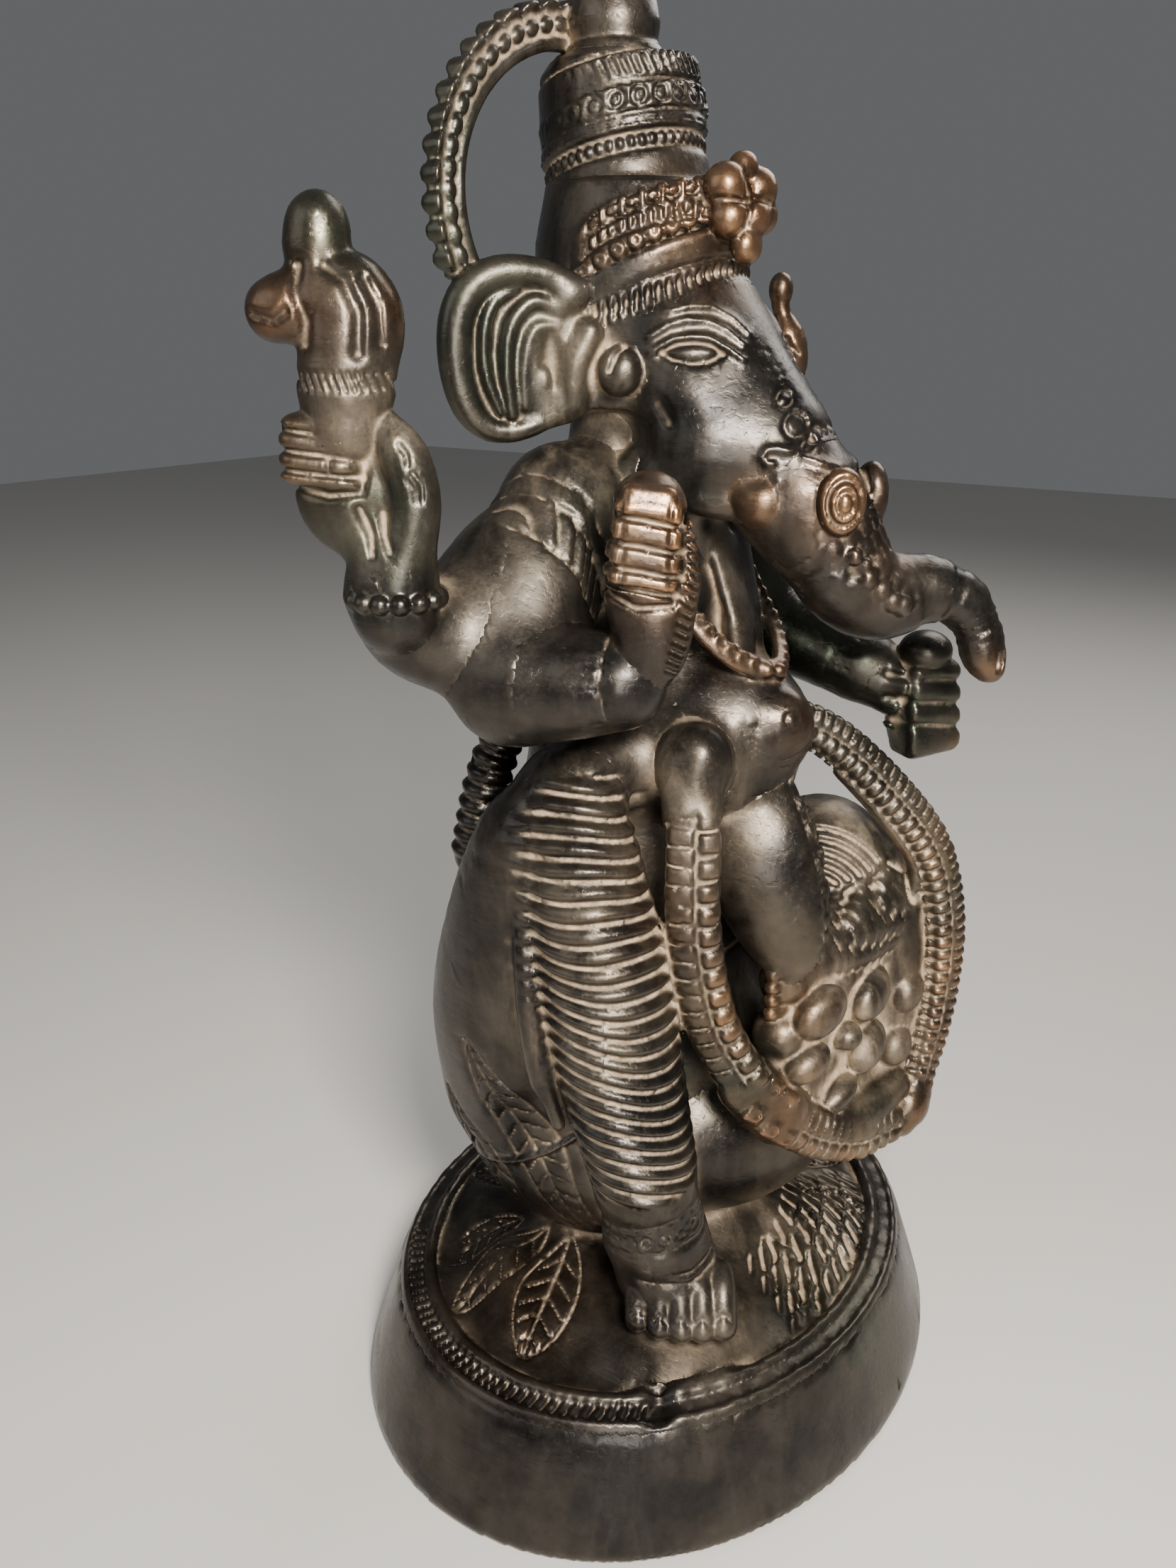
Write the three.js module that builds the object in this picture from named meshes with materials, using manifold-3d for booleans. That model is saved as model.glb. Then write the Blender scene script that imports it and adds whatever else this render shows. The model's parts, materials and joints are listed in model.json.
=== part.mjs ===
// A seated four-armed elephant-headed figure on an oval plinth, cast in patinated brass.
// Millimetres. The figure faces -Y, its right side is -X, +Z is up and the plinth's underside is z = 0.
import * as THREE from "three";
import { mergeVertices } from "three/addons/utils/BufferGeometryUtils.js";
import Module from "manifold-3d";

const wasm = await Module();
wasm.setup();

// Plinth
const PLINTH_FOOT_HALF_WIDTH = 67;
const PLINTH_RIM_HALF_WIDTH = 60;
const PLINTH_DEPTH_RATIO = 0.82;
const PLINTH_HEIGHT = 22;
const RIM_BAND_WIDTH = 6.5;
const RIM_BAND_HEIGHT = 2.2;
const MOUND_HEIGHT = 13;

// Crown and halo
const CROWN_BASE_Z = 204;
const CROWN_BASE_RADIUS = 17;
const CROWN_UPPER_RADIUS = 13.3;
const FINIAL_RADIUS = 7.2;
const FIGURE_HEIGHT = 252;
const CIRCLE_BAND_Z = 230.8;
const HATCHED_BAND_Z = 235.6;
const BAND_TILT = 0.22;
const HALO_CENTRE = [0, 20, 219.5];
const HALO_OUTER = { halfWidth: 37.2, halfHeight: 29.5 };
const HALO_INNER = { halfWidth: 30.6, halfHeight: 22.3 };
const HALO_FOOT_Z = 207.1;
const HALO_THICKNESS = 4.6;
const HALO_SCALLOPS = 24;

// Folds, ribs and clearances
const SHIN_PLEATS = 12;
const KNEE_PLEATS = 7;
const TRUNK_RINGS = 8;
const GARLAND_WIDTH = 9;
const GARLAND_THICKNESS = 4.4;
const GAP = 0.35;
const SLIVER = 0.12;

// Joints of the figure, each a point on the limb's centre line
const HIP_RIGHT = [-16, 16, 63];
const KNEE_RIGHT = [-36.5, 0, 123];
const ANKLE_RIGHT = [-27, -14.5, 48];
const TOES_RIGHT = [-25, -24, 30];
const HIP_LEFT = [15, 8, 72];
const KNEE_LEFT = [29, -22, 97];
const ANKLE_LEFT = [6, -27, 84];
const SHOULDER_RIGHT = [-19, 9, 171];
const ELBOW_RIGHT = [-38, 5, 148];
const WRIST_RIGHT = [-34, -13, 149.5];
const BACK_WRIST_RIGHT = [-53.5, 17.5, 164];
const SHOULDER_LEFT = [19, 7, 169];
const ELBOW_LEFT = [29, -1, 147];
const WRIST_LEFT = [33, -23, 139.5];
const BACK_WRIST_LEFT = [54, 13, 172];

const BRONZE = { color: 0x2e2620, roughness: 0.42, metalness: 0.9 };
const WORN_COPPER = { color: 0x8a4f2e, roughness: 0.36, metalness: 0.95 };
const DUSTY_BRONZE = { color: 0x4a3d30, roughness: 0.62, metalness: 0.75 };

const figure = new THREE.Group();
figure.name = "seated_elephant_headed_figure";
const finished = [];

function solidOf(geometry) {
  const plain = geometry.index ? geometry.toNonIndexed() : geometry.clone();
  plain.deleteAttribute("normal");
  plain.deleteAttribute("uv");
  const merged = mergeVertices(plain, 1e-4);
  const mesh = new wasm.Mesh({
    numProp: 3,
    vertProperties: merged.attributes.position.array,
    triVerts: new Uint32Array(merged.index.array),
  });
  return new wasm.Manifold(mesh);
}

function geometryOf(solid) {
  const mesh = solid.getMesh();
  const geometry = new THREE.BufferGeometry();
  geometry.setAttribute("position", new THREE.BufferAttribute(new Float32Array(mesh.vertProperties), 3));
  geometry.setIndex(new THREE.BufferAttribute(new Uint32Array(mesh.triVerts), 1));
  geometry.computeVertexNormals();
  return geometry;
}

function largestPiece(solid) {
  const pieces = solid.decompose();
  return pieces.reduce((best, piece) => (piece.volume() > best.volume() ? piece : best));
}

function boxesMeet(a, b) {
  return [0, 1, 2].every((i) => a.min[i] < b.max[i] && b.min[i] < a.max[i]);
}

// shape(grow) gives the body with every surface moved out by grow; earlier nodes keep their full
// form and a later one is cut back from them by the clearance.
function addNode(name, finish, shape) {
  let solid = shape(0);
  for (const earlier of finished) {
    if (boxesMeet(solid.boundingBox(), earlier.box)) {
      solid = solid.subtract(earlier.grown);
    }
  }
  solid = largestPiece(solid.simplify(SLIVER));
  const grown = shape(GAP);
  finished.push({ grown, box: grown.boundingBox() });
  const material = new THREE.MeshStandardMaterial(finish);
  material.name = name;
  const mesh = new THREE.Mesh(geometryOf(solid), material);
  mesh.name = name;
  figure.add(mesh);
}

function union(solids) {
  return solids.reduce((whole, solid) => whole.add(solid));
}

function framesAlong(curve, steps, face) {
  const frames = [];
  let normal = new THREE.Vector3(...face);
  for (let i = 0; i <= steps; i += 1) {
    const tangent = curve.getTangent(i / steps);
    normal = normal.clone().addScaledVector(tangent, -normal.dot(tangent)).normalize();
    const side = normal.clone().cross(tangent);
    frames.push({ point: curve.getPoint(i / steps), tangent, normal, side });
  }
  return frames;
}

// A round-ended limb through stations [x, y, z, radius]; ripple(t) scales the radius along it, and
// flat thins it in the direction of face.
function limb(stations, grow = 0, options = {}) {
  const { radial = 9, steps = 4, flat = 1, caps = 2, face = [0.4, -0.9, 0.2], ripple = () => 1 } = options;
  const points = stations.map(([x, y, z]) => new THREE.Vector3(x, y, z));
  const curve = new THREE.CatmullRomCurve3(points, false, "centripetal");
  const frames = framesAlong(curve, steps, face);
  const radiusAt = (t) => {
    const k = Math.min(t * (stations.length - 1), stations.length - 1.0001);
    const i = Math.floor(k);
    const smooth = THREE.MathUtils.smoothstep(k - i, 0, 1) * 0.5 + (k - i) * 0.5;
    return THREE.MathUtils.lerp(stations[i][3], stations[i + 1][3], smooth) * ripple(t) + grow;
  };
  const geometry = new THREE.CapsuleGeometry(1, 1, caps, radial, steps);
  const position = geometry.getAttribute("position");
  for (let i = 0; i < position.count; i += 1) {
    const y = position.getY(i);
    const t = THREE.MathUtils.clamp(y + 0.5, 0, 1);
    const frame = frames[Math.round(t * steps)];
    const radius = radiusAt(t);
    const cap = y > 0.5 ? y - 0.5 : Math.min(y + 0.5, 0);
    const at = frame.point
      .clone()
      .addScaledVector(frame.normal, position.getX(i) * radius * flat)
      .addScaledVector(frame.side, position.getZ(i) * radius)
      .addScaledVector(frame.tangent, cap * radius);
    position.setXYZ(i, at.x, at.y, at.z);
  }
  return solidOf(geometry);
}

function ball(centre, radii, grow = 0, turn = [0, 0, 0], segments = 9) {
  const geometry = new THREE.SphereGeometry(1, segments, Math.round(segments * 0.7));
  geometry.rotateX(Math.PI / 2);
  geometry.scale(radii[0] + grow, radii[1] + grow, radii[2] + grow);
  geometry.rotateX(turn[0]);
  geometry.rotateY(turn[1]);
  geometry.rotateZ(turn[2]);
  geometry.translate(...centre);
  return solidOf(geometry);
}

// An upright turned body: profile of [radius, z], centred on (x, y).
function turned(profile, centre = [0, 0], depthRatio = 1, segments = 28) {
  const points = profile.map(([r, z]) => new THREE.Vector2(r, z));
  const geometry = new THREE.LatheGeometry(points, segments);
  geometry.rotateX(Math.PI / 2);
  geometry.scale(1, depthRatio, 1);
  geometry.translate(centre[0], centre[1], 0);
  return solidOf(geometry);
}

// A rounded ring of the given inner radius, radial thickness and width, about an axis through centre.
function ring(centre, axis, radius, thickness, width, grow = 0, segments = 14) {
  const half = width / 2 + grow;
  const inner = radius - grow;
  const outer = radius + thickness + grow;
  const points = [
    new THREE.Vector2(inner, -half),
    new THREE.Vector2(outer - thickness * 0.3, -half),
    new THREE.Vector2(outer, -half * 0.4),
    new THREE.Vector2(outer, half * 0.4),
    new THREE.Vector2(outer - thickness * 0.3, half),
    new THREE.Vector2(inner, half),
    new THREE.Vector2(inner, -half),
  ];
  const geometry = new THREE.LatheGeometry(points, segments);
  const up = new THREE.Vector3(0, 1, 0);
  const direction = new THREE.Vector3(...axis).normalize();
  geometry.applyQuaternion(new THREE.Quaternion().setFromUnitVectors(up, direction));
  geometry.translate(...centre);
  return solidOf(geometry);
}

// A flat strap swept through points, its width lying along acrossAxis.
function strap(points, width, thickness, grow = 0, steps = 18) {
  const curve = new THREE.CatmullRomCurve3(points.map((p) => new THREE.Vector3(...p)));
  const outline = new THREE.Shape();
  const a = width / 2 + grow;
  const b = thickness / 2 + grow;
  outline.moveTo(-a, -b * 0.5);
  outline.lineTo(-a * 0.8, -b);
  outline.lineTo(a * 0.8, -b);
  outline.lineTo(a, -b * 0.5);
  outline.lineTo(a, b * 0.5);
  outline.lineTo(a * 0.8, b);
  outline.lineTo(-a * 0.8, b);
  outline.lineTo(-a, b * 0.5);
  outline.closePath();
  const geometry = new THREE.ExtrudeGeometry(outline, { extrudePath: curve, steps });
  return solidOf(geometry);
}

function toward(from, to, t) {
  return from.map((value, i) => value + (to[i] - value) * t);
}

function between(from, to, t, radius) {
  return [...toward(from, to, t), radius];
}


// ---- Base ----

function plinthShape(grow) {
  const foot = PLINTH_FOOT_HALF_WIDTH;
  const rim = PLINTH_RIM_HALF_WIDTH;
  const top = PLINTH_HEIGHT + grow;
  const profile = [
    [0, -grow],
    [foot + grow, -grow],
    [foot + grow, 2.5],
    [foot - 1.4 + grow, 6],
    [rim + 1.6 + grow, 16],
    [rim + grow, PLINTH_HEIGHT - 0.6],
    [rim - 0.8 + grow, top],
    [0, top],
  ];
  return turned(profile, [0, 0], PLINTH_DEPTH_RATIO, 40);
}

function rimBandShape(grow) {
  const outer = PLINTH_RIM_HALF_WIDTH - 1.2 + grow;
  const inner = outer - RIM_BAND_WIDTH - 2 * grow;
  const low = PLINTH_HEIGHT + GAP - grow;
  const high = PLINTH_HEIGHT + GAP + RIM_BAND_HEIGHT + grow;
  const profile = [
    [inner, low],
    [outer, low],
    [outer - 0.6, high - 0.6],
    [outer - 1.4, high],
    [inner + 1, high],
    [inner, high - 0.8],
    [inner, low],
  ];
  return turned(profile, [0, 0], PLINTH_DEPTH_RATIO, 32);
}

function moundShape(grow) {
  const rim = PLINTH_RIM_HALF_WIDTH - 1.2 - RIM_BAND_WIDTH - 2 * GAP;
  const low = PLINTH_HEIGHT + GAP;
  const profile = [
    [0, low - grow],
    [rim + grow, low - grow],
    [rim - 2 + grow, low + 1.6 + grow],
    [rim * 0.78, low + 3.2 + grow],
    [rim * 0.58, low + 5.6 + grow],
    [rim * 0.4, low + 10 + grow],
    [rim * 0.2, low + MOUND_HEIGHT - 0.6 + grow],
    [0, low + MOUND_HEIGHT + grow],
  ];
  return turned(profile, [0, 0], PLINTH_DEPTH_RATIO, 20);
}

// ---- Lower body ----

function hipsShape(grow) {
  const lower = ball([-2, 8, 48], [31, 29, 24], grow, [0, 0, 0], 12);
  const upper = ball([0, 8, 74], [30, 27, 30], grow, [0, 0, 0], 12);
  return lower.add(upper);
}

function rightThighShape(grow) {
  const stations = [
    [...HIP_RIGHT, 21],
    [-20, 15, 80, 20.5],
    [-27, 10.5, 100, 15.5],
    [-33.5, 4.5, 117, 10.5],
    [...KNEE_RIGHT, 8],
  ];
  return limb(stations, grow, { radial: 12, steps: 6 });
}

function rightShinShape(grow) {
  const ripple = (t) => 1 + 0.035 * Math.cos(t * SHIN_PLEATS * 2 * Math.PI);
  const stations = [
    [KNEE_RIGHT[0] + 1, KNEE_RIGHT[1] - 4, KNEE_RIGHT[2] - 2, 8.5],
    [-33, -6, 110, 11],
    [-31, -9, 92, 11.8],
    [-30, -11, 74, 11],
    [ANKLE_RIGHT[0], ANKLE_RIGHT[1], ANKLE_RIGHT[2] + 4, 9.8],
  ];
  return limb(stations, grow, { radial: 9, steps: SHIN_PLEATS * 2, ripple });
}

function rightAnkletShape(grow) {
  const axis = toward(ANKLE_RIGHT, TOES_RIGHT, -1).map((v, i) => v - ANKLE_RIGHT[i]);
  return ring([-26.6, -16, 43], [axis[0], axis[1] * 0.3, axis[2]], 8.6, 2.4, 5, grow);
}

function rightFootShape(grow) {
  const sole = limb([[-26.5, -14.5, 40, 8.8], [-25.5, -18.5, 34, 8.4], [-24.8, -23, 30.5, 6.6]], grow);
  const toes = [0, 1, 2, 3, 4].map((i) => {
    const x = -31.5 + i * 3.3;
    const reach = -27.4 - 1.2 * Math.sin((i + 1) * 0.7);
    return limb([[x, -22.5, 30, 2.1], [x, reach, 27.6, i === 4 ? 2.4 : 2]], grow, { radial: 6, steps: 1, caps: 1 });
  });
  return union([sole, ...toes]);
}

function leftThighShape(grow) {
  const stations = [[...HIP_LEFT, 19], [22, -6, 88, 18], [...KNEE_LEFT, 15]];
  return limb(stations, grow, { radial: 12, steps: 5 });
}

function leftShinShape(grow) {
  const ripple = (t) => 1 + 0.05 * Math.cos(t * KNEE_PLEATS * 2 * Math.PI);
  const stations = [
    [KNEE_LEFT[0] + 2, KNEE_LEFT[1] - 7, KNEE_LEFT[2] - 6, 12],
    [19, -29, 87, 11],
    [...ANKLE_LEFT, 8.5],
  ];
  return limb(stations, grow, { radial: 9, steps: KNEE_PLEATS * 2, ripple });
}

function leftFootShape(grow) {
  const sole = limb([[4, -27.5, 84.5, 6], [-3, -27, 84, 5]], grow, { steps: 4 });
  const toes = [0, 1, 2, 3].map((i) =>
    limb([[-5, -28.5, 88 - i * 2.6, 1.7], [-8.6, -27, 88 - i * 2.6, 1.6]], grow, { radial: 6, steps: 1, caps: 1 }),
  );
  return union([sole, ...toes]);
}

// Rounded cloud lobes in courses that step outward as they go down.
function seatShape(grow) {
  const core = ball([12, -8, 52], [33, 25, 22], grow, [0, 0, 0], 12);
  const courses = [
    { z: 71, count: 4, radius: 10, reach: 0.8 },
    { z: 57, count: 4, radius: 11, reach: 0.88 },
    { z: 43, count: 4, radius: 10, reach: 0.82 },
  ];
  const lobes = [];
  courses.forEach(({ z, count, radius, reach }, course) => {
    for (let i = 0; i < count; i += 1) {
      const angle = THREE.MathUtils.degToRad(-135 + (course % 2) * 10 + (i * 130) / (count - 1));
      const x = 12 + 32 * reach * Math.cos(angle);
      const y = -8 + 24 * reach * Math.sin(angle);
      lobes.push(ball([x, y, z], [radius * 0.7, radius, radius * 0.75], grow, [0, 0, angle], 6));
    }
  });
  return union([core, ...lobes]);
}

function frontSashShape(grow) {
  return limb([[-4, -22, 116, 5], [0, -28, 102, 6.5], [1, -30.5, 88, 2]], grow, { flat: 0.5, radial: 12 });
}

function rearSashShape(grow) {
  const ripple = (t) => 1 + 0.12 * Math.cos(t * 7 * 2 * Math.PI);
  const stations = [[-20, 21, 134, 4], [-23, 24, 122, 4.6], [-25, 26, 108, 4.6]];
  return limb(stations, grow, { radial: 8, steps: 14, ripple });
}

// ---- Trunk of the body ----

function torsoShape(grow) {
  const stations = [
    [0, 8, 98, 24],
    [0, 7, 118, 21.5],
    [0, 7, 138, 18.5],
    [0, 7, 156, 17.5],
    [0, 6, 170, 13],
    [0, 4, 180, 11],
  ];
  return limb(stations, grow, { radial: 12, steps: 6 });
}

function bellyShape(grow) {
  const stations = [[0, -2, 132, 18], [0, -12, 134, 14.5], [0, -21, 134.5, 8]];
  return limb(stations, grow, { radial: 11, steps: 3 });
}

function scarfShape(grow) {
  const stations = [[9, -6, 166, 4.4], [4, -10, 156, 4.6], [0, -15, 148, 4]];
  return limb(stations, grow, { flat: 0.7, radial: 10 });
}

function necklaceShape(grow) {
  const points = [
    [-13.5, -3, 166],
    [-12, -10, 156],
    [-8, -17.5, 149],
    [0, -22, 145.5],
    [8, -17.5, 149],
    [12, -10, 156],
    [13.5, -3, 166],
  ];
  return strap(points, 3.4, 4.6, grow, 10);
}

// ---- Head ----

function headShape(grow) {
  const skull = ball([0, 3, 198], [16.5, 16, 16], grow, [0, 0, 0], 12);
  const face = limb([[0, -2, 195, 15.5], [0, -10, 188, 13], [0, -17, 181.5, 11.8]], grow, { radial: 10 });
  const cheeks = [-8, 8].map((x) => ball([x, -10, 182], [8.5, 10, 9], grow, [0, 0, 0], 8));
  return union([skull, face, ...cheeks]);
}

function trunkShape(grow) {
  const ripple = (t) => 1 + (t > 0.5 ? 0.035 * Math.cos(t * TRUNK_RINGS * 4 * Math.PI) : 0);
  const stations = [
    [0, -24, 174, 10.6],
    [2, -29, 167, 9.2],
    [4, -32.2, 161.2, 8.3],
    [8, -35.8, 158.4, 7.8],
    [13, -41.6, 159, 6.3],
    [17, -47.1, 156.4, 5],
    [19, -50.8, 147.5, 3.6],
  ];
  return limb(stations, grow, { radial: 9, steps: TRUNK_RINGS * 3, ripple });
}

function tuskShape(side) {
  return (grow) => limb([[side * 7, -17, 177, 4], [side * 9.5, -21.5, 174.5, 4.4]], grow, { radial: 12, steps: 3 });
}

function medallionShape(side) {
  const normal = new THREE.Vector3(side * 0.62, -0.7, 0.36).normalize();
  const centre = [side * 5.6, -33, 175];
  return (grow) => {
    const geometry = new THREE.LatheGeometry(
      [
        new THREE.Vector2(0, -2.4 - grow),
        new THREE.Vector2(4.6 + grow, -2.4 - grow),
        new THREE.Vector2(4.6 + grow, 0.6),
        new THREE.Vector2(3.6 + grow, 1.4 + grow),
        new THREE.Vector2(2.6, 0.8 + grow),
        new THREE.Vector2(1.8, 1.8 + grow),
        new THREE.Vector2(0, 2.1 + grow),
      ],
      16,
    );
    geometry.applyQuaternion(new THREE.Quaternion().setFromUnitVectors(new THREE.Vector3(0, 1, 0), normal));
    geometry.translate(...centre);
    return solidOf(geometry);
  };
}

function earShape(side) {
  return (grow) => {
    const outline = new THREE.Shape();
    outline.moveTo(-1 - grow, -8);
    outline.quadraticCurveTo(4, -11, 9, -13.4 - grow);
    outline.quadraticCurveTo(17, -14.5 - grow, 21.5 + grow, -9);
    outline.quadraticCurveTo(26 + grow, 2, 21 + grow, 8);
    outline.quadraticCurveTo(15, 13.5 + grow, 7, 11.6 + grow);
    outline.quadraticCurveTo(0, 10, -1 - grow, 4);
    outline.closePath();
    const geometry = new THREE.ExtrudeGeometry(outline, {
      depth: 2.6 + 2 * grow,
      bevelEnabled: true,
      bevelThickness: 1,
      bevelSize: 1,
      bevelSegments: 2,
      curveSegments: 5,
    });
    geometry.translate(0, 0, -1.3 - grow);
    geometry.rotateX(Math.PI / 2);
    geometry.rotateZ(side * THREE.MathUtils.degToRad(42));
    if (side < 0) {
      geometry.rotateZ(Math.PI);
    }
    geometry.translate(side * 16, 5.5, 197);
    return solidOf(geometry);
  };
}

function earStudShape(side) {
  return (grow) => ball([side * 16.2, 0.5, 193.5], [3.4, 3.6, 3.6], grow, [0, 0, 0], 12);
}

// ---- Crown ----

function crownBaseShape(grow) {
  const r = CROWN_BASE_RADIUS + grow;
  const z = CROWN_BASE_Z;
  const profile = [[0, z - 8 - grow], [r, z - 8 - grow], [r + 0.6, z + 2], [r, z + 10], [r - 2.4, z + 18 + grow]];
  profile.push([0, z + 18 + grow]);
  return turned(profile, [0, 6.5], 1, 18);
}

function crownTierShape(grow) {
  const r = CROWN_UPPER_RADIUS + grow;
  const profile = [
    [0, 222.6 - grow],
    [r, 222.6 - grow],
    [r + 0.3, 229],
    [r - 0.4, 234],
    [r - 2, 237.6],
    [FINIAL_RADIUS - 0.5, 239.6 + grow],
    [0, 239.6 + grow],
  ];
  return turned(profile, [0, 10], 1, 18);
}

function crownBandShape(z, radius, width) {
  return (grow) => ring([0, 10, z], [0, BAND_TILT, 1], radius, 1.3, width, grow, 18);
}

function diademShape(z, radius, width, lift, yCentre) {
  return (grow) => ring([0, yCentre, z], [0, lift, 1], radius, 2, width, grow, 16);
}

function jewelShape(grow) {
  const heart = ball([0, -13.4, 216.5], [5.4, 4, 5.6], grow, [0.25, 0, 0], 12);
  const lobes = [-1, 1].map((side) => ball([side * 3.2, -13.6, 221.2], [3.4, 3, 3.4], grow, [0, 0, 0], 7));
  const drop = ball([0, -14.6, 210.6], [3, 2.6, 3.4], grow, [0, 0, 0], 7);
  return union([heart, ...lobes, drop]);
}

function finialShape(grow) {
  const r = FINIAL_RADIUS + grow;
  const profile = [
    [0, 239.9 - grow],
    [r + 0.5, 239.9 - grow],
    [r + 0.5, 241.4],
    [r - 0.4, 242.4],
    [r, 245],
    [r - 0.9, 248.4],
    [r - 3.2, 251.2],
    [1.6, FIGURE_HEIGHT - 0.2 + grow],
    [0, FIGURE_HEIGHT + grow],
  ];
  return turned(profile, [0, 12.2], 1, 16);
}

// Points of one edge of the halo, from its right foot over the top to its left foot.
function haloEdge({ halfWidth, halfHeight }, grow, notch, count) {
  const foot = Math.asin((HALO_FOOT_Z - HALO_CENTRE[2]) / halfHeight);
  const points = [];
  for (let i = 0; i <= count; i += 1) {
    const angle = foot + ((Math.PI - 2 * foot) * i) / count;
    const change = grow - (i % 2 ? 0 : notch);
    points.push([(halfWidth + change) * Math.cos(angle), (halfHeight + change) * Math.sin(angle)]);
  }
  return points;
}

function haloShape(grow) {
  const outer = haloEdge(HALO_OUTER, grow, 0.9, HALO_SCALLOPS * 2);
  const inner = haloEdge(HALO_INNER, -grow, 0, HALO_SCALLOPS);
  const corners = [...outer, ...inner.reverse()];
  const outline = new THREE.Shape();
  outline.moveTo(...corners[0]);
  for (const corner of corners.slice(1)) {
    outline.lineTo(...corner);
  }
  outline.closePath();
  const depth = HALO_THICKNESS + 2 * grow;
  const geometry = new THREE.ExtrudeGeometry(outline, { depth, bevelEnabled: false });
  geometry.translate(0, 0, -depth / 2);
  geometry.rotateX(Math.PI / 2);
  geometry.translate(...HALO_CENTRE);
  return solidOf(geometry);
}

// ---- Arms and hands ----

// A closed fist round an upright grip: palm, four stacked fingers and a thumb.
function fist(centre, facing, grow, scale = 1) {
  const place = (a, b, c) => {
    const across = Math.cos(facing) * a - Math.sin(facing) * b;
    const ahead = Math.sin(facing) * a + Math.cos(facing) * b;
    return [centre[0] + across * scale, centre[1] + ahead * scale, centre[2] + c * scale];
  };
  const palm = ball(centre, [7.6 * scale, 5.6 * scale, 10.5 * scale], grow, [0, 0, facing], 8);
  const fingers = [0, 1, 2, 3].map((i) => {
    const z = 7 - i * 3.9;
    const stations = [
      [...place(7, -1.5, z), 2 * scale],
      [...place(3, -6.4, z), 2.1 * scale],
      [...place(-4.5, -5.8, z), 2 * scale],
    ];
    return limb(stations, grow, { radial: 6, steps: 2, caps: 1 });
  });
  const thumb = limb([[...place(-7, -1, -4), 2.3 * scale], [...place(-5.6, -4.6, 4.5), 2.1 * scale]], grow, {
    radial: 6,
    steps: 1,
    caps: 1,
  });
  return union([palm, ...fingers, thumb]);
}

function upperArmShape(shoulder, elbow, size) {
  return (grow) => {
    const stations = [
      [...shoulder, 12 * size],
      between(shoulder, elbow, 0.5, 12.2 * size),
      [...elbow, 10.4 * size],
    ];
    return limb(stations, grow, { radial: 12, steps: 4 });
  };
}

function forearmShape(elbow, wrist, size) {
  return (grow) => {
    const stations = [
      [...elbow, 9.8 * size],
      between(elbow, wrist, 0.55, 8.8 * size),
      [...wrist, 6.8 * size],
    ];
    return limb(stations, grow, { radial: 11, steps: 4 });
  };
}

function rightBackArmShape(grow) {
  const stations = [[-31, 12, 161, 11], [-41, 14, 155.5, 9.6], [-48.5, 16, 157, 8], [...BACK_WRIST_RIGHT, 6.4]];
  return limb(stations, grow, { radial: 11, steps: 5 });
}

function leftBackArmShape(grow) {
  const stations = [[27, 12, 163, 10.5], [38, 14, 157, 9.4], [48, 14.5, 160, 7.8], [...BACK_WRIST_LEFT, 6.2]];
  return limb(stations, grow, { radial: 11, steps: 5 });
}

function handShape(centre, facing, scale) {
  return (grow) => fist(centre, facing, grow, scale);
}

function styloShape(grow) {
  const stations = [[-32.5, -17, 180, 5.4], [-32.2, -17, 184, 3.2]];
  return limb(stations, grow, { radial: 12, steps: 3 });
}

// A goad-like attribute: bulbous head with a pointed tip and a knob to one side.
function budShape(base, height, size, knobDirection) {
  return (grow) => {
    const [x, y, z] = base;
    const stem = limb(
      [
        [x, y, z, 5.6 * size],
        [x, y, z + height * 0.42, 7 * size],
        [x, y, z + height * 0.72, 5 * size],
        [x, y, z + height * 0.88, 3.6 * size],
      ],
      grow,
      { radial: 12 },
    );
    if (knobDirection === null) {
      return stem;
    }
    const [kx, ky] = knobDirection;
    const start = [x, y, z + height * 0.3, 5 * size];
    const end = [x + kx * size, y + ky * size, z + height * 0.36, 4.2 * size];
    return stem.add(limb([start, end], grow, { radial: 10, steps: 3 }));
  };
}

function sweetShape(grow) {
  return ball([35.5, -35.5, 145], [5.2, 5.2, 3.8], grow, [0, 0, 0], 12);
}

function cuffShape(joint, from, radius, width) {
  const axis = toward(joint, from, -1).map((v, i) => v - joint[i]);
  return (grow) => ring(joint, axis, radius, 1.8, width, grow, 12);
}

// ---- Garland ----

function garlandStrand(points, grow, steps) {
  const stations = points.map((point) => [...point, GARLAND_WIDTH / 2]);
  const flat = GARLAND_THICKNESS / GARLAND_WIDTH;
  return limb(stations, grow, { radial: 10, steps, flat, caps: 1, face: [-0.5, -0.85, 0.1] });
}

function garlandNearShape(grow) {
  const points = [[-18, -18, 134], [-21, -22, 122], [-22, -23, 106], [-19, -25, 88], [-13, -28.5, 73]];
  return garlandStrand(points, grow, 8);
}

function garlandHemShape(grow) {
  const points = [[-7, -32.5, 63], [2, -36.5, 55.5], [13, -40.5, 51.5], [20, -42.5, 51.5]];
  return garlandStrand(points, grow, 6);
}

function garlandFarShape(grow) {
  const points = [[29.5, -44.5, 62], [33, -45, 74], [34, -44.5, 90], [31, -41, 106], [24, -34, 119], [19, -27, 128]];
  return garlandStrand(points, grow, 9);
}

function garlandKnobShape(grow) {
  return ball([26.4, -44.2, 52.5], [4.4, 3.4, 4.4], grow, [0, 0, 0], 10);
}

// ---- Assembly, in the order in which a node keeps its full form ----

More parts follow.
